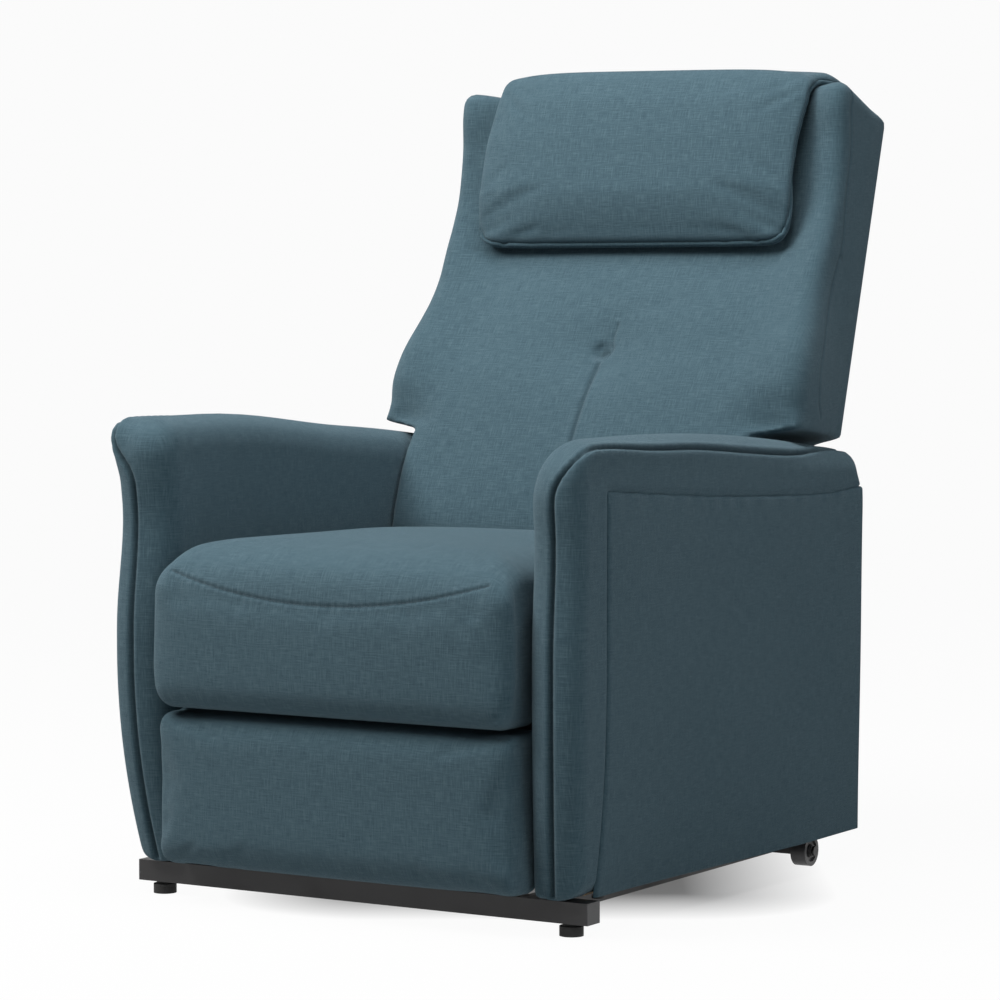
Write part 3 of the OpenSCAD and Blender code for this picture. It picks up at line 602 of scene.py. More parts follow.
def stitch_tree():
    """A row of short stitches along a path."""
    tree, g, given, out = geometry_tree("stitch row", [
        ("Pitch", "Float", 0.006), ("Length", "Float", 0.0042), ("Thickness", "Float", 0.0009),
        ("Thread", "Material", None)])
    dots = g.add("GeometryNodeCurveToPoints", {"mode": "LENGTH"}, Curve=given["Geometry"],
                 Length=given["Pitch"])
    ball = g.add("GeometryNodeMeshUVSphere", None, Segments=8, Rings=6, Radius=0.5)
    size = g.add("ShaderNodeCombineXYZ", X=given["Thickness"], Y=given["Thickness"], Z=given["Length"])
    turned = g.add("FunctionNodeAlignRotationToVector", {"axis": "Z"}, Vector=dots.outputs["Tangent"])
    row = g.add("GeometryNodeInstanceOnPoints", None, Points=dots.outputs["Points"],
                Instance=ball.outputs["Mesh"], Rotation=turned.outputs[0], Scale=size.outputs[0])
    real = g.add("GeometryNodeRealizeInstances", None, Geometry=row.outputs[0])
    soft = g.add("GeometryNodeSetShadeSmooth", None, Geometry=real.outputs[0])
    done = g.add("GeometryNodeSetMaterial", None, Geometry=soft.outputs[0], Material=given["Thread"])
    tree.links.new(done.outputs[0], out["Geometry"])
    return tree


def along_paths(name, paths, tree, closed=False, **values):
    """Runs a tree on curves through the paths, and keeps the result as a plain mesh."""
    curve = bpy.data.curves.new(name, "CURVE")
    curve.dimensions = "3D"
    for path in paths:
        spline = curve.splines.new("POLY")
        spline.points.add(len(path) - 1)
        spline.points.foreach_set("co", np.c_[np.array(path), np.ones(len(path))].ravel())
        spline.use_cyclic_u = closed
    guide = bpy.data.objects.new(name + "_guide", curve)
    bpy.context.scene.collection.objects.link(guide)
    nodes = guide.modifiers.new("nodes", "NODES")
    nodes.node_group = tree
    for item in tree.interface.items_tree:
        if item.in_out == "INPUT" and item.name in values:
            nodes[item.identifier] = values[item.name]
    bpy.context.view_layer.update()
    graph = bpy.context.evaluated_depsgraph_get()
    mesh = bpy.data.meshes.new_from_object(guide.evaluated_get(graph))
    mesh.name = name
    bpy.data.objects.remove(guide)
    obj = bpy.data.objects.new(name, mesh)
    bpy.context.scene.collection.objects.link(obj)
    return obj


WELT_TREE = welt_tree()
STITCH_TREE = stitch_tree()


def welt(name, paths, body, radius=0.003, material=None, closed=False, shift=True):
    obj = along_paths(name, paths, WELT_TREE, closed, Radius=radius, Cloth=material or WELT)
    return finish_piece(obj, None, body, shift=shift, smooth=False)


def stitches(name, paths, body, pitch=0.006, length=0.0043, thickness=0.0010, shift=True):
    obj = along_paths(name, paths, STITCH_TREE, Pitch=pitch, Length=length, Thickness=thickness,
                      Thread=THREAD)
    return finish_piece(obj, None, body, shift=shift, smooth=False)


# ------------------------------------------------------------------ arms
ARM_BOW, ARM_TOP = 0.054, 0.601
CORNER_R, REAR_R = 0.078, 0.022
PANEL_FRONT, PANEL_TOP, PANEL_T = 0.024, 0.524, 0.004
POCKET_Y, POCKET_Z, POCKET_W, POCKET_H, POCKET_D = 0.300, 0.250, 0.062, 0.268, 0.027
POCKET_FRONT = 0.092


def foot_share(z):
    """Grows from nothing at a third of the arm's height to one at its foot."""
    return np.clip((0.32 - z) / 0.27, 0, 1.1) ** 2


def arm_front(z):
    """Y of the arm's front: bowed, a little hollow above the middle, and drawn in at the foot."""
    hollow = smooth_step(z, 0.34, 0.47) * smooth_step(-z, -0.60, -0.47)
    return -ARM_BOW + 0.003 + 0.031 * foot_share(z) + 0.006 * hollow


def foot_taper(y, z):
    """How far the arm's outer side is drawn in at the foot of its front."""
    return 0.0175 * foot_share(z) * (1 - smooth_step(y, 0.05, 0.60))


def arm_crown(y):
    return ARM_TOP - 0.12 * (y - 0.150) ** 2


def arm_outline(r=CORNER_R, back=0.0, lift=0.0):
    """The arm's side view, with corner radius r, its upper front moved back and up."""
    corner_z = ARM_TOP + lift - r - 0.001
    z_low = np.arange(ARM_BOTTOM, corner_z - 0.02, 0.02)
    corner = (arm_front(corner_z) + r + back, corner_z)
    y_top = np.arange(0.10, 0.66, 0.04)
    z_top = arm_crown(y_top) + lift * smooth_step(-y_top, -0.42, -0.10)
    rear = (ARM_REAR - REAR_R, arm_crown(ARM_REAR - REAR_R) - REAR_R)
    y_low = arm_front(z_low) + back * smooth_step(z_low, 0.36, 0.52)
    return np.vstack([np.stack([y_low, z_low], 1), arc(corner, r, 180, 90, 14),
                      np.stack([y_top, z_top], 1), arc(rear, REAR_R, 90, 0, 8),
                      [[ARM_REAR - 0.010, ARM_BOTTOM]]])


ARM_SIDE = {1: arm_outline(), -1: arm_outline(0.045, 0.006, 0.016)}
ARM_EDGE = {hand: Outline(side) for hand, side in ARM_SIDE.items()}
ARM_BORDER = {1: Outline(arm_outline(0.050)), -1: Outline(arm_outline(0.024, 0.010, 0.014))}
CROWN = {1: 0.0035, -1: 0.0050}


def arm_flare(y, z):
    """How far the arm's outer side leans out at its front top corner."""
    return 0.005 * smooth_step(z, 0.560, 0.605) * (1 - 0.6 * smooth_step(y, 0.05, 0.35))


def arm_edge(hand, x, y, z):
    """Distance to the arm's outline as it is x away from the middle: a big corner and a full
    crown inside, and a smaller corner and a lower shoulder at the outer border."""
    share = smooth_step(x, 0.305, 0.350)
    edge = ARM_EDGE[hand](y, z) * (1 - share) + ARM_BORDER[hand](y, z) * share
    shoulder = (0.006 + 0.008 * smooth_step(y, 0.0, 0.20) + 0.005 * smooth_step(y, 0.20, 0.42)
                - 0.009 * smooth_step(y, 0.54, 0.70))
    if hand < 0:
        shoulder = shoulder * smooth_step(y, -0.02, 0.30)
    fall = shoulder * np.clip((x - 0.300) / 0.045, 0, 1.2) ** 2 * smooth_step(z, 0.50, 0.575)
    return edge + fall - CROWN[hand] * smooth_step(z, 0.48, 0.58)


def arm_seam_x(y, z):
    """Where the seam between the inner pad and the outer border lies across the arm."""
    top = smooth_step(z, 0.545, 0.590)
    along = (0.0315 - 0.006 * smooth_step(y, 0.50, 0.70)) * top
    return 0.3135 + along + 0.8 * arm_flare(y, z) * top - 0.9 * foot_taper(y, z)


def panel_top(y):
    """Height of the blind-tacked top edge of the side panel, which sags toward the rear."""
    rise = 0.029 * np.clip((0.62 - y) / 0.59, 0, 1.1) ** 1.6
    return 0.513 + rise + 0.004 * smooth_step(y, 0.62, 0.72)


def arm_field(hand):
    def field(p):
        x, y, z = np.abs(p[:, 0]), p[:, 1], p[:, 2]
        edge = arm_edge(hand, x, y, z)
        top = smooth_step(z, 0.535, 0.575)
        flare = arm_flare(y, z)
        inner = (ARM_IN + 0.0005) - x + 0.004 * smooth_step(z, 0.47, 0.30) * smooth_step(y, 0.05, 0.2)
        outer = x - (HALF_W + flare - foot_taper(y, z))
        in_panel = smooth_step(y, PANEL_FRONT - 0.003, PANEL_FRONT + 0.002) * smooth_step(
            panel_top(y) - z, -0.003, 0.002)
        outer = outer + (PANEL_T + 0.0006) * in_panel
        rear = smooth_step(y, 0.60, 0.70) * smooth_step(-z, -0.56, -0.50)
        wide = rounded(edge, inner, 0.043 - 0.033 * np.maximum(rear, np.clip(foot_share(z), 0, 1)))
        tight = rounded(edge, outer, (0.026 - 0.012 * top) * (1 - rear) + 0.003 * rear)
        value = np.where(x < 0.309, wide, tight)
        if hand < 0:
            hole = np.maximum.reduce([HALF_W - POCKET_D - x, POCKET_Y - y, y - POCKET_Y - POCKET_W,
                                      POCKET_Z - z, z - POCKET_Z - POCKET_H])
            value = np.maximum(value, -hole)
        return value
    return field


def arm_seam_path(hand):
    """The seam up the arm's front and back along its top, as points near the surface."""
    path = [(arm_front(z), z) for z in np.arange(ARM_BOTTOM + 0.004, 0.52, 0.02)]
    path += [tuple(q) for q in ARM_SIDE[hand] if q[1] > 0.525 and q[0] < ARM_REAR - 0.012]
    y, z = dense(np.c_[np.zeros(len(path)), path], 0.004)[:, 1:].T
    x = arm_seam_x(y, z)
    h = 0.0008
    for _ in range(12):
        value = arm_edge(hand, x, y, z)
        dy = (arm_edge(hand, x, y + h, z) - value) / h
        dz = (arm_edge(hand, x, y, z + h) - value) / h
        size = np.maximum(dy ** 2 + dz ** 2, 0.2)
        y, z = y - value * dy / size, z - value * dz / size
    even = np.ones(9) / 9
    x = np.r_[x[:4], np.convolve(x, even, "valid"), x[-4:]]
    return np.stack([hand * x, y, z], 1)


def make_arm(hand, name, node):
    field = arm_field(hand)
    x0, x1 = ARM_IN, HALF_W
    arm = prism(name, ARM_SIDE[hand], *(sorted((hand * x0, hand * x1))))
    if hand < 0:
        cut = prism("pocket", [(POCKET_Y, POCKET_Z), (POCKET_Y + POCKET_W, POCKET_Z),
                               (POCKET_Y + POCKET_W, POCKET_Z + POCKET_H), (POCKET_Y, POCKET_Z + POCKET_H)],
                    -HALF_W - 0.02, -HALF_W + POCKET_D)
        hole = arm.modifiers.new("pocket", "BOOLEAN")
        hole.object = cut
        hole.operation = "DIFFERENCE"
        apply_modifiers(arm)
        bpy.data.objects.remove(cut)
    remesh(arm, 0.0055)
    settle(arm, field)
    relax(arm, field)
    seam = lay_on(arm, dense(arm_seam_path(hand), 0.004))
    seam = lay_on(arm, dense(seam, 0.004))
    refine(arm, [seam], 0.012)
    refine(arm, [seam], 0.007)
    settle(arm, field, 2)
    corner = seam[(seam[:, 2] > 0.545) & (seam[:, 1] < 0.08)]
    press(arm, [seam], 0.0052, 0.0030)
    press(arm, [corner], 0.0003, 0.0030, pucker=0.00018, pitch=0.013)
    return finish_piece(arm, SLATE, "chair", stands_for=[node])


def slab(name, ys, zs, keep, face_x, back_x, side, slant=0.0):
    """A thin upholstered panel in the Y-Z plane with rolled edges. keep says which cells of the
    grid are cloth, face_x and back_x give its two surfaces, and side is +1 or -1 for where it faces."""
    ny, nz = len(ys), len(zs)
    grid_y, grid_z = np.meshgrid(ys, zs, indexing="ij")
    front = np.stack([side * face_x(grid_y, grid_z), grid_y, grid_z], -1).reshape(-1, 3)
    rear = np.stack([side * back_x(grid_y, grid_z), grid_y, grid_z], -1).reshape(-1, 3)
    for part in (front, rear):
        part[:, 1] -= slant * (zs[-1] - part[:, 2]) * (part[:, 1] - ys[0]) / (ys[-1] - ys[0])
    cells = [(i, j) for i in range(ny - 1) for j in range(nz - 1)
             if keep((ys[i] + ys[i + 1]) / 2, (zs[j] + zs[j + 1]) / 2)]
    kept = set(cells)
    n = ny * nz
    faces = []
    for i, j in cells:
        a, b, c, d = i * nz + j, (i + 1) * nz + j, (i + 1) * nz + j + 1, i * nz + j + 1
        faces += [(a, b, c, d), (a + n, d + n, c + n, b + n)]
        for (p, q), cell in (((a, b), (i, j - 1)), ((b, c), (i + 1, j)), ((c, d), (i, j + 1)),
                             ((d, a), (i - 1, j))):
            if cell not in kept:
                faces.append((q, p, p + n, q + n))
    obj = mesh_object(name, np.vstack([front, rear]), faces)
    clean = bmesh.new()
    clean.from_mesh(obj.data)
    bmesh.ops.delete(clean, geom=[v for v in clean.verts if not v.link_faces], context="VERTS")
    bmesh.ops.recalc_face_normals(clean, faces=clean.faces)
    clean.to_mesh(obj.data)
    clean.free()
    return obj


def lines(*stops):
    """Grid lines through the stops, close together next to each of them."""
    found = []
    for a, b in zip(stops, stops[1:]):
        near = np.array([0, 0.0008, 0.002, 0.004, 0.007, 0.011])
        near = near[near < (b - a) / 2]
        inner = np.arange(a + near[-1] + 0.006, b - near[-1] - 0.003, 0.009)
        found += [*(a + near), *inner, *(b - near[::-1])]
    return np.unique(np.round(found, 6))


def make_side_panel(hand, name, node):
    """The blind-tacked outer panel. Its top edge is pulled in unevenly by the tacks."""
    pocket = hand < 0
    y_stops = [PANEL_FRONT + 0.0008, ARM_REAR]
    z_stops = [ARM_BOTTOM, PANEL_TOP - 0.0008]
    window = (POCKET_Y, POCKET_Y + POCKET_W, POCKET_Z + POCKET_FRONT, POCKET_Z + POCKET_H)
    if pocket:
        y_stops = [y_stops[0], window[0], window[1], y_stops[1]]
        z_stops = [z_stops[0], window[2], window[3], z_stops[1]]
    ys, zs = lines(*y_stops), lines(*z_stops)

    def keep(y, z):
        return not (pocket and window[0] < y < window[1] and window[2] < z < window[3])

    def face_x(y, z):
        gap = np.minimum.reduce([y - ys[0], zs[-1] - z, 0.004 + ys[-1] - y, 0.003 + z - zs[0]])
        if pocket:
            across = np.maximum(window[0] - y, y - window[1])
            up = np.maximum(window[2] - z, z - window[3])
            gap = np.minimum(gap, np.maximum(np.maximum(across, up), 0))
        roll = np.sqrt(np.clip(gap / 0.005, 0, 1) * (2 - np.clip(gap / 0.005, 0, 1)))
        tacks = 0.0011 * np.exp(-((zs[-1] - z) / 0.016) ** 2) * (
            np.sin(y * 2 * math.pi / 0.047 + 2 * np.sin(y * 21)) - 0.4)
        fill = 0.0016 * np.clip(gap / 0.08, 0, 1) ** 0.5
        soft = 0.0007 * np.sin(y * 19 + z * 5) * np.sin(z * 13 - y * 4)
        return (HALF_W - PANEL_T - foot_taper(y, z) + (PANEL_T + 0.0004 + tacks) * roll + fill
                + soft * roll)

    panel = slab(name, ys, zs, keep, face_x, lambda y, z: HALF_W - PANEL_T - foot_taper(y, z), hand, 0.020)
    p = read_points(panel)
    share = smooth_step(p[:, 2], POCKET_Z + POCKET_H, PANEL_TOP) if pocket else (
        np.clip((p[:, 2] - 0.30) / (PANEL_TOP - 0.30), 0, 1) ** 2)
    p[:, 2] += (panel_top(p[:, 1]) - PANEL_TOP) * share
    write_points(panel, p)
    return finish_piece(panel, SLATE, "chair", stands_for=[node])


# ------------------------------------------------------------------ seat and legrest
NOSE, SEAT_REAR, SEAT_BASE, CREASE_Z, SEAT_FRONT = 0.060, 0.475, 0.300, 0.252, 0.008


def make_seat():
    r_top, r_low = 0.062, 0.030
    nose, crown = NOSE + 0.019, SEAT_TOP + 0.005
    outline = np.vstack([[[SEAT_REAR, SEAT_BASE], [SEAT_FRONT, SEAT_BASE], [SEAT_FRONT, CREASE_Z]],
                         arc((-nose + r_low, CREASE_Z + r_low), r_low, 270, 180, 8),
                         arc((-nose + r_top, crown - r_top), r_top, 180, 90, 16),
                         [[SEAT_REAR, SEAT_TOP]]])
    edge = Outline(outline)

    def field(p):
        x, y, z = np.abs(p[:, 0]), p[:, 1], p[:, 2]
        top = smooth_step(z, 0.40, 0.46)
        fall = 0.010 * top * (x / SEAT_HALF) ** 4 + 0.004 * smooth_step(y, 0.30, 0.47) * top
        bulge = 0.005 * smooth_step(-y, 0.045, 0.065) * smooth_step(z, 0.26, 0.31)
        return rounded(edge(y, z) + fall, x - SEAT_HALF - bulge, 0.022 + 0.018 * top)

    seat = prism("seat_cushion_cover", outline, -SEAT_HALF - 0.004, SEAT_HALF + 0.004)
    remesh(seat, 0.0058)
    settle(seat, field)
    relax(seat, field)
    p = read_points(seat)
    held = (p[:, 2] < SEAT_BASE + 0.012) & (p[:, 1] > -0.03) | (p[:, 1] > 0.44) | (p[:, 2] < 0.27)
    swell(seat, held, 4.0, 0.007)
    top_line = []
    p = BVHTree.FromPolygons([tuple(v.co) for v in seat.data.vertices],
                             [tuple(f.vertices) for f in seat.data.polygons])
    for x in np.linspace(-0.235, 0.235, 48):
        z = 0.394 + 0.034 * (x / 0.235) ** 2
        hit = p.ray_cast(Vector((x, -0.3, z)), Vector((0, 1, 0)))[0]
        if hit is not None:
            top_line.append(hit)
    top_line = np.array(top_line)
    refine(seat, [top_line], 0.010)
    refine(seat, [top_line], 0.006)
    press(seat, [top_line], 0.0013, 0.0022, shade=0.45, pucker=0.0003, pitch=0.011)
    row = lay_on(seat, dense(top_line, 0.004), 0.0001)
    stitches("seat_top_stitch", [row], "chair", thickness=0.0008)
    keep_clear(seat, SEAT_HALF + 0.0015)
    return finish_piece(seat, SLATE, "chair", stands_for=["seat_cushion"])


def keep_clear(obj, half, proud=0.006):
    """Keeps a swollen cover between the arms; in front of them it may stand a little proud."""
    p = read_points(obj)
    limit = half + proud * smooth_step(-p[:, 1], 0.050, 0.062)
    p[:, 0] = np.clip(p[:, 0], -limit, limit)
    write_points(obj, p)


def make_legrest():
    face, low, high, thick = 0.002, 0.0465, 0.2500, 0.070
    outline = np.vstack([[[face, low + 0.008], [face, high]],
                         arc((face - thick + 0.024, high - 0.024), 0.024, 90, 180, 6),
                         arc((face - thick + 0.034, low + 0.030), 0.034, 180, 270, 8),
                         [[face - 0.010, low]]])
    edge = Outline(outline)
    half = SEAT_HALF + 0.0020
    front_view = Outline(np.vstack([[[-half, high + 0.02], [half, high + 0.02]],
                                    arc((half - 0.016, low + 0.012), 0.016, 0, -90, 8),
                                    arc((-half + 0.016, low + 0.012), 0.016, -90, -180, 8)]))

    def field(p):
        x, y, z = p[:, 0], p[:, 1], p[:, 2]
        crown = 0.004 * np.clip(np.abs(x) / half, 0, 1) ** 6 * smooth_step(-y, 0.0, 0.02)
        return rounded(edge(y, z) + crown, front_view(x, z), 0.010)

    pad = prism("legrest_cover", outline, -half, half)
    remesh(pad, 0.0055)
    settle(pad, field)
    relax(pad, field)
    p = read_points(pad)
    swell(pad, p[:, 1] > face - 0.012, 4.0, 0.007)
    p = read_points(pad)
    p[:, 2] = np.clip(p[:, 2], 0.0462, 0.2505)
    write_points(pad, p)
    keep_clear(pad, half, 0.004)
    return finish_piece(pad, SLATE, "legrest_panel", stands_for=["legrest_pad"])


# ------------------------------------------------------------------ back
CENTRE_FRONT = smooth_line(np.array([
    [-142, 60], [-161, 118], [-156, 200], [-144, 280], [-130, 340], [-114, 385], [-96, 440],
    [-74, 500], [-58, 545], [-52, 600], [-60, 690], [-66, 755], [-60, 800]]) / 1000)
WING_FRONT = smooth_line(np.array([
    [-140, 60], [-157, 120], [-156, 200], [-140, 250], [-126, 276], [-130, 300], [-136, 332],
    [-131, 369], [-123, 396], [-109, 431], [-96, 467], [-84, 507], [-75, 550], [-67, 600],
    [-66, 640], [-75, 700], [-90, 750], [-92, 800]]) / 1000)
SIDE_SEAM = smooth_line(np.array([
    [-60, 310], [-76, 330], [-80, 369], [-64, 431], [-50, 507], [-38, 560], [-46, 622], [-52, 693],
    [-68, 745], [-70, 775]]) / 1000, 60)
ARM_JOINT_W = 0.277


def back_front(x, w):
    """u of the back's front surface: the middle's contour, running into the wings'."""
    share = smooth_step(x, 0.215, 0.300)
    middle = np.interp(w, CENTRE_FRONT[:, 1], CENTRE_FRONT[:, 0])
    wing = np.interp(w, WING_FRONT[:, 1], WING_FRONT[:, 0])
    return middle * (1 - share) + wing * share


def back_side(u, w):
    """Half width of the back: narrow between the arms, then out to the wings."""
    start = ARM_JOINT_W + 0.2 * (u + 0.094)
    lobe = 0.019 * smooth_step(-w, -0.52, -0.33) * smooth_step(-u, -0.04, 0.09)
    wide = BACK_HALF + lobe - 0.004 * smooth_step(u, 0.0, 0.06)
    return 0.2655 + (wide - 0.2655) * smooth_step(w, start - 0.010, start + 0.007)


def back_top(u, x):
    return BACK_TOP - 0.010 - 0.075 * (u + 0.020)


def back_field(p):
    x, u, w = np.abs(p[:, 0]), p[:, 1], p[:, 2]
    front = back_front(x, w) - u
    tuft = np.hypot(p[:, 0] / 1.25, w - TUFT_W)
    front = front + 0.028 * np.exp(-(tuft / 0.0095) ** 2) + 0.009 * np.exp(-(tuft / 0.050) ** 2)
    below = smooth_step(-w, -TUFT_W, -TUFT_W + 0.03) * smooth_step(w, 0.215, 0.36)
    front = front + 0.0075 * below * np.exp(-(np.abs(p[:, 0]) / 0.022))
    above = smooth_step(w, TUFT_W, TUFT_W + 0.006) * smooth_step(-w, -TUFT_W - 0.075, -TUFT_W - 0.02)
    front = front + 0.005 * above * np.exp(-(np.abs(p[:, 0] - 0.2 * (w - TUFT_W)) / 0.012))
    rear = u - (SHELL_U - 0.0075)
    side = x - back_side(u, w)
    top = w - back_top(u, x)
    above_arms = smooth_step(w, 0.26, 0.31)
    value = rounded(front, side, 0.007 + (0.013 + 0.012 * smooth_step(-w, -0.56, -0.45)) * above_arms)
    value = rounded(value, top, 0.020 - 0.010 * smooth_step(u, 0.0, 0.05))
    value = rounded(value, rear, 0.006 + 0.016 * above_arms)
    return rounded(value, 0.060 - w, 0.015)


TUFT_W = 0.385


def warped_box(name, count, place):
    """A closed box of small squares. place(a, b, c) puts each point, with a, b, c from -1 to 1."""
    verts, faces, index = [], [], {}

    def vertex(key):
        if key not in index:
            index[key] = len(verts)
            verts.append(key)
        return index[key]

    na, nb, nc = count
    for axis, (n1, n2) in enumerate(((nb, nc), (na, nc), (na, nb))):
        for end in (0, count[axis]):
            for i in range(n1):
                for j in range(n2):
                    quad = [(i, j), (i + 1, j), (i + 1, j + 1), (i, j + 1)]
                    keys = [tuple(np.insert(q, axis, end)) for q in quad]
                    faces.append([vertex(tuple(int(v) for v in k)) for k in keys])
    unit = np.array(verts, float) / np.array(count) * 2 - 1
    obj = mesh_object(name, place(*unit.T), faces)
    tidy = bmesh.new()
    tidy.from_mesh(obj.data)
    bmesh.ops.recalc_face_normals(tidy, faces=tidy.faces)
    tidy.to_mesh(obj.data)
    tidy.free()
    return obj


def make_back():
    def place(a, b, c):
        w = 0.060 + (BACK_TOP - 0.062) * (c + 1) / 2
        u_rear = SHELL_U - 0.0075
        half = np.abs(a)
        x = a * 0.31
        for _ in range(3):
            u_front = back_front(np.abs(x), w)
            u = u_front + (u_rear - u_front) * (b + 1) / 2
            x = a * back_side(u, w)
        w = np.minimum(w, back_top(u, half * 0.3))
        return np.stack([x, u, w], 1)

    back = warped_box("back_cover", (100, 36, 124), place)
    settle(back, back_field, 8)
    remesh(back, 0.0058)
    settle(back, back_field, 4)
    relax(back, back_field)
    p = read_points(back)
    tuft = np.hypot(p[:, 0], p[:, 2] - TUFT_W)
    held = ((p[:, 1] > -0.02) | (p[:, 2] < 0.10) | (p[:, 2] > 0.60) | (np.abs(p[:, 0]) > 0.20)
            | (tuft < 0.02) | (np.abs(p[:, 0]) < 0.006) & (p[:, 2] < TUFT_W))
    swell(back, held, 3.0, 0.006)
    rims = [lay_on(back, [(s * (BACK_HALF + 0.006), u + 0.004, w) for u, w in SIDE_SEAM])
            for s in (1, -1)]
    crease = [lay_on(back, [(0.0, -0.12, w) for w in np.arange(0.225, TUFT_W - 0.006, 0.008)])]
    nick = [lay_on(back, [(0.2 * (w - TUFT_W), -0.12, w)
                          for w in np.arange(TUFT_W + 0.008, TUFT_W + 0.050, 0.006)])]
    foot = [lay_on(back, [(s * x, -0.02 - 0.5 * (0.31 - x), 0.545) for x in np.arange(0.262, 0.306, 0.006)])
            for s in (1, -1)]
    for reach in (0.012, 0.007):
        refine(back, rims + crease + nick, reach)
    press(back, rims, 0.0012, 0.0026, shade=0.35)
    press(back, crease, 0.0024, 0.0030, shade=0.55)
    press(back, nick, 0.0016, 0.0028, shade=0.35)
    press(back, foot, 0.0012, 0.0030, shade=0.4)
    p = read_points(back)
    # Painted shade around the tuft's hollow on the front of the back.
    paint_seam_shade(back, np.exp(-(np.hypot(p[:, 0], p[:, 2] - TUFT_W) / 0.008) ** 2) * (p[:, 1] < 0) * 0.9)
    write_points(back, on_back(read_points(back)))
    return finish_piece(back, SLATE, "back", stands_for=["back_cushion", "back_wings"])


def make_back_cover():
    """The outer back: a flat cloth panel with rolled edges, tacked along its sides."""
    low, high, wide = 0.030, 0.764, BACK_HALF - 0.017
    ws, xs = lines(low, high), lines(-wide, wide)

    def half_at(w):
        corner = 0.030
        bite = corner - np.sqrt(corner ** 2 - np.clip(w - high + corner, 0, corner) ** 2)
        return 0.248 + (wide - 0.248) * smooth_step(w, 0.312, 0.350) - bite

    ny, nz = len(xs), len(ws)
    gx, gw = np.meshgrid(xs, ws, indexing="ij")
    gap = np.minimum.reduce([wide - np.abs(gx), gw - low, high - gw])
    roll = np.sqrt(np.clip(gap / 0.006, 0, 1) * (2 - np.clip(gap / 0.006, 0, 1)))
    u_out = SHELL_U - 0.0060 + 0.0058 * roll + 0.0015 * np.clip(gap / 0.12, 0, 1)
    x = gx * half_at(gw) / wide
    n = ny * nz
    outer = on_back(np.stack([x, u_out, gw], -1).reshape(-1, 3))
    inner = on_back(np.stack([x, np.full_like(x, SHELL_U - 0.0065), gw], -1).reshape(-1, 3))
    faces = []
    for i in range(ny - 1):
        for j in range(nz - 1):
            a, b, c, d = i * nz + j, (i + 1) * nz + j, (i + 1) * nz + j + 1, i * nz + j + 1
            faces += [(a, b, c, d), (a + n, d + n, c + n, b + n)]
            for (p, q), edge in (((a, b), j == 0), ((b, c), i == ny - 2), ((c, d), j == nz - 2),
                                 ((d, a), i == 0)):
                if edge:
                    faces.append((q, p, p + n, q + n))
    obj = mesh_object("outer_back_cover", np.vstack([outer, inner]), faces)
    tidy = bmesh.new()
    tidy.from_mesh(obj.data)
    bmesh.ops.recalc_face_normals(tidy, faces=tidy.faces)
    tidy.to_mesh(obj.data)
    tidy.free()
    return finish_piece(obj, SLATE, "back", stands_for=["back_shell"])


# ------------------------------------------------------------------ head pillow
PILLOW_HALF = 0.252


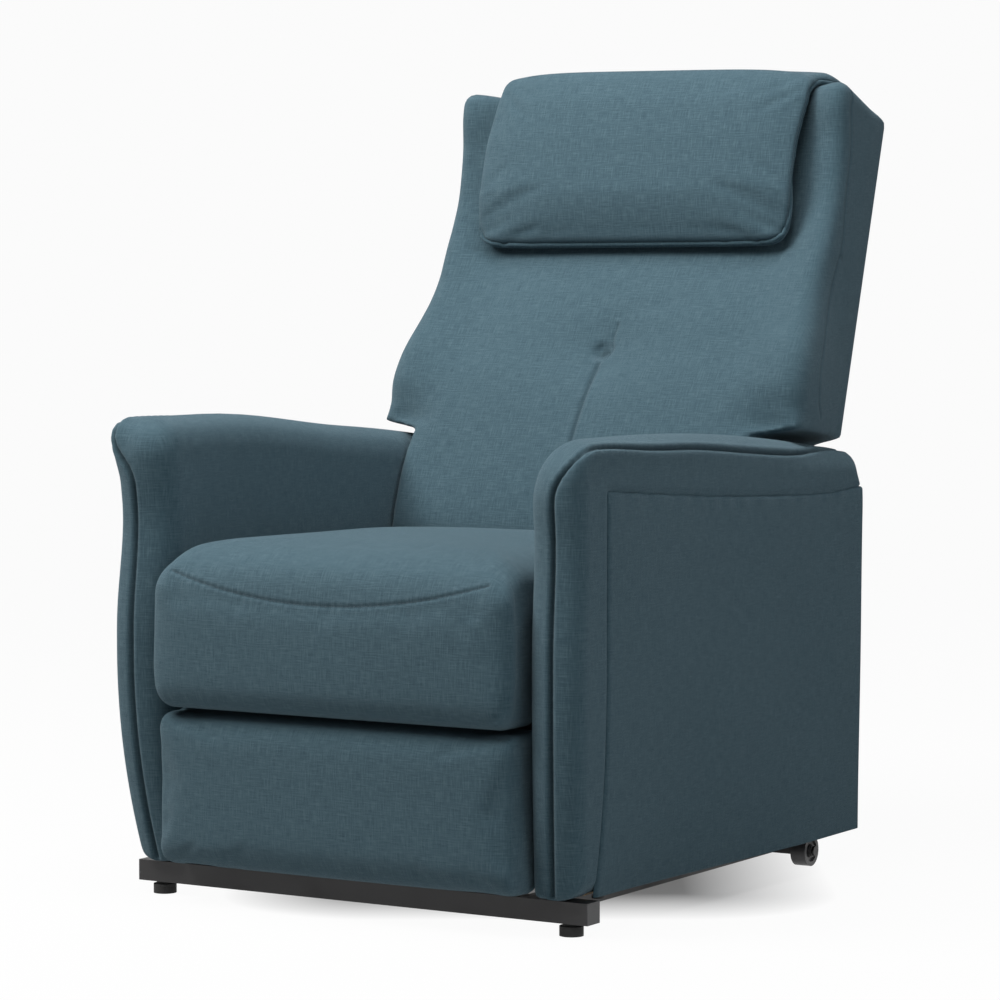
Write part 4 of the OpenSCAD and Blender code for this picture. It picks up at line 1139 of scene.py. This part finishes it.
def make_pillow():
    """A soft bolster in front, thinning out over the top of the back to a flap behind it."""
    front = -0.110
    outline = np.vstack([
        [[-0.060, 0.548]], arc((front + 0.034, 0.564), 0.022, 270, 190, 6),
        [[front, 0.620], [front - 0.003, 0.700], [front - 0.002, 0.760]],
        arc((front + 0.032, 0.778), 0.030, 165, 95, 6),
        [[-0.046, 0.816], [0.010, 0.810], [0.066, 0.794], [0.066, 0.776], [-0.020, 0.7903],
         [-0.042, 0.7903], [-0.062, 0.7903], [-0.076, 0.772], [-0.076, 0.690], [-0.074, 0.640],
         [-0.064, 0.600]]])
    edge = Outline(outline, step=0.002, blur=3)
    half = PILLOW_HALF
    r = 0.040
    front_view = Outline(np.vstack([[[-half, 0.90], [half, 0.90]], arc((half - r, 0.545 + r), r, 0, -90, 8),
                                    arc((-half + r, 0.545 + r), r, -90, -180, 8)]), step=0.003)

    def field(p):
        x, u, w = p[:, 0], p[:, 1], p[:, 2]
        thin = 0.010 * (np.abs(x) / half) ** 5 * smooth_step(-u, 0.05, 0.09)
        thin = thin + 0.006 * smooth_step(-w, -0.62, -0.56) * smooth_step(-u, 0.07, 0.09)
        return rounded(edge(u, w) + thin, front_view(x, w), 0.016)

    pillow = prism("pillow_cover", outline, -half, half)
    remesh(pillow, 0.0055)
    settle(pillow, field)
    relax(pillow, field, 1)
    p = read_points(pillow)
    held = (p[:, 1] > -0.072) | (p[:, 2] > 0.80) | (np.abs(p[:, 0]) > half - 0.006)
    swell(pillow, held, 3.0, 0.006)
    edge_u = -0.079
    loop = [(half - 0.0005, edge_u, w) for w in np.arange(0.776, 0.545 + r, -0.012)]
    loop += [(half - r + r * math.cos(t), edge_u, 0.545 + r - r * math.sin(t))
             for t in np.linspace(0, math.pi / 2, 8)]
    loop += [(x, edge_u, 0.545) for x in np.arange(half - r - 0.015, -(half - r), -0.015)]
    loop += [(-half + r - r * math.sin(t), edge_u, 0.545 + r - r * math.cos(t))
             for t in np.linspace(0, math.pi / 2, 8)]
    loop += [(-half + 0.0005, edge_u, w) for w in np.arange(0.545 + r + 0.012, 0.776, 0.012)]
    over = [(edge_u + 0.012, 0.793), (-0.050, 0.800), (-0.030, 0.803), (0.010, 0.800), (0.055, 0.790)]
    right = [(half, u, w) for u, w in reversed(over)]
    left = [(-half, u, w) for u, w in over]
    path = lay_on(pillow, dense(right + loop + left, 0.005))
    for reach in (0.010, 0.006):
        refine(pillow, [path], reach)
    press(pillow, [path], 0.0030, 0.0040, shade=0.85)
    cord = lay_on(pillow, path, 0.0022)

    def drape(p):
        high = smooth_step(p[:, 2], 0.68, 0.79)
        x = p[:, 0] * (1 + 0.060 * smooth_step(p[:, 1], -0.085, -0.010)) + 0.010 * high
        tilt = p[:, 0] / half * 0.0045 * high + 0.004 * np.abs(p[:, 0] / half) ** 8 * high
        return np.stack([x, p[:, 1], p[:, 2] - tilt], 1)

    write_points(pillow, on_back(drape(read_points(pillow))))
    cord = drape(cord)
    finish_piece(pillow, SLATE, "pillow", stands_for=["head_pillow"])
    return welt("pillow_welt", [on_back(smooth_line(cord, 500))], "pillow", 0.0033)


# ------------------------------------------------------------------ rear apron
def make_apron():
    """The cloth skirt behind the seat, between the arms."""
    low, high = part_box("rear_apron")
    half = high[0] - 0.0005
    xs, zs = lines(-half, half), lines(low[2] + 0.001, high[2] - 0.001)
    gx, gz = np.meshgrid(xs, zs, indexing="ij")
    gap = np.minimum.reduce([half - np.abs(gx), gz - zs[0], zs[-1] - gz])
    roll = np.sqrt(np.clip(gap / 0.004, 0, 1) * (2 - np.clip(gap / 0.004, 0, 1)))
    rear = high[1] - 0.003 + 0.003 * roll + 0.0012 * np.sin(gx * 24) * np.sin(gz * 15) * roll
    n = gx.size
    outer = np.stack([gx, rear, gz], -1).reshape(-1, 3)
    inner = np.stack([gx, np.full_like(gx, low[1] + 0.0005), gz], -1).reshape(-1, 3)
    nz, ny = len(zs), len(xs)
    faces = []
    for i in range(ny - 1):
        for j in range(nz - 1):
            a, b, c, d = i * nz + j, (i + 1) * nz + j, (i + 1) * nz + j + 1, i * nz + j + 1
            faces += [(a, b, c, d), (a + n, d + n, c + n, b + n)]
            for (p, q), edge in (((a, b), j == 0), ((b, c), i == ny - 2), ((c, d), j == nz - 2),
                                 ((d, a), i == 0)):
                if edge:
                    faces.append((q, p, p + n, q + n))
    obj = mesh_object("apron_cover", np.vstack([outer, inner]), faces)
    tidy = bmesh.new()
    tidy.from_mesh(obj.data)
    bmesh.ops.recalc_face_normals(tidy, faces=tidy.faces)
    tidy.to_mesh(obj.data)
    tidy.free()
    return finish_piece(obj, SLATE, "chair", stands_for=["rear_apron"], shift=False)


# ------------------------------------------------------------------ frame finishes
def finish_frame():
    """Every CAD node that stays takes the finish of its material slot, or a closer one."""
    special = {"front_feet": RUBBER, "arm_glides": RUBBER, "rear_wheel_left": HUB,
               "rear_wheel_right": HUB, "base_rail_caps": PLASTIC, "handset": PLASTIC,
               "arm_spacers": LINKS}
    slots = {part["node"]: part["material_slot"] for part in frame["record"]["subparts"]}
    for name, obj in frame["nodes"].items():
        material = special.get(name) or FINISHES[slots[name]]
        for spot in obj.material_slots:
            spot.material = material
        if not obj.material_slots:
            obj.data.materials.append(material)


# ------------------------------------------------------------------ stage
def make_stage():
    """A pale floor that curves up into a backdrop, with a painted shadow under the chair, soft lamps, and the
    camera.
    """
    profile = [(-7.0, 0.0), (5.0, 0.0)]
    profile += [(5.0 + 3 * math.sin(t), 3 - 3 * math.cos(t)) for t in np.linspace(0.1, math.pi / 2, 14)]
    profile += [(8.0, 9.0)]
    verts = [(x, y, z) for x in (-14, 14) for y, z in profile]
    n = len(profile)
    faces = [(i, i + 1, i + 1 + n, i + n) for i in range(n - 1)]
    floor = mesh_object("studio_floor", verts, [f[::-1] for f in faces])
    floor.rotation_euler = (0, 0, math.radians(31.5))
    material, g = new_material("pale floor")
    seen = g.add("ShaderNodeLightPath").outputs
    rays = g.math("MAXIMUM", g.math("MAXIMUM", seen["Is Camera Ray"], seen["Is Glossy Ray"]),
                  seen["Is Transmission Ray"])
    place = g.add("ShaderNodeSeparateXYZ",
                  Vector=g.add("ShaderNodeTexCoord").outputs["Object"]).outputs
    beyond = [g.math("MAXIMUM", g.math("SUBTRACT", g.math("ABSOLUTE", place[k]), 0.20), 0.0)
              for k in (0, 1)]
    away = g.math("SQRT", g.math("ADD", g.math("POWER", beyond[0], 2.0), g.math("POWER", beyond[1], 2.0)))
    # Painted shadow: the glow is only 0.15 of the floor under the chair's footprint and grows to 0.94 beyond
    # it, so a dark patch lies under the chair.
    glow_outside_painted_shadow = g.ramp(away, 0.0, 0.20, 0.15, 0.94)
    matt = g.add("ShaderNodeBsdfDiffuse", Color=(0.42, 0.42, 0.42, 1))
    glow = g.add("ShaderNodeEmission", Color=(1, 1, 1, 1), Strength=1.02)
    both = g.add("ShaderNodeMixShader", None, i0=g.math("MULTIPLY", rays, glow_outside_painted_shadow),
                 i1=matt.outputs[0], i2=glow.outputs[0])
    g.add("ShaderNodeOutputMaterial", Surface=both.outputs[0])
    floor.data.materials.append(material)
    floor.data.polygons.foreach_set("use_smooth", [True] * len(faces))

    world = bpy.data.worlds.new("studio air")
    bpy.context.scene.world = world
    world.use_nodes = True
    w = Graph(world.node_tree)
    air = w.add("ShaderNodeBackground", Color=(0.93, 0.96, 1.0, 1), Strength=0.09)
    beyond_floor = w.add("ShaderNodeBackground", Color=(1, 1, 1, 1), Strength=0.97)
    seen = w.add("ShaderNodeLightPath").outputs["Is Camera Ray"]
    both = w.add("ShaderNodeMixShader", None, i0=seen, i1=air.outputs[0], i2=beyond_floor.outputs[0])
    w.add("ShaderNodeOutputWorld", Surface=both.outputs[0])

    def lamp(name, place, aim, power, width, colour):
        data = bpy.data.lights.new(name, "AREA")
        data.energy, data.size, data.color = power, width, colour
        obj = bpy.data.objects.new(name, data)
        bpy.context.scene.collection.objects.link(obj)
        obj.location = place
        obj.rotation_euler = (Vector(place) - Vector(aim)).to_track_quat("Z", "Y").to_euler()

    lamp("key", (-1.6, -1.9, 3.1), (0, 0, 0.7), 116, 1.5, (1.0, 0.99, 0.97))
    lamp("top", (0.1, -0.7, 3.1), (0, 0, 0.5), 62, 1.7, (1.0, 1.0, 1.0))
    lamp("fill", (3.4, -0.8, 1.9), (0, 0, 0.5), 33, 2.0, (0.95, 0.98, 1.0))

    camera = bpy.data.cameras.new("camera")
    camera.lens, camera.sensor_width = 129.6, 36.0
    holder = bpy.data.objects.new("camera", camera)
    bpy.context.scene.collection.objects.link(holder)
    holder.location = (2.500, -3.735 - MID_Y, 0.771)
    holder.rotation_euler = (math.radians(90 - 3.18), 0, math.radians(31.5))
    bpy.context.scene.camera = holder
    bpy.context.scene.view_settings.view_transform = "Standard"


# ------------------------------------------------------------------ assembly
make_stage()
finish_frame()
make_arm(1, "arm_right_cover", "arm_right")
make_arm(-1, "arm_left_cover", "arm_left")
make_side_panel(1, "side_cover_right", "side_panel_right")
make_side_panel(-1, "side_cover_left", "side_panel_left")
make_seat()
make_legrest()
make_back()
make_back_cover()
make_pillow()
make_apron()
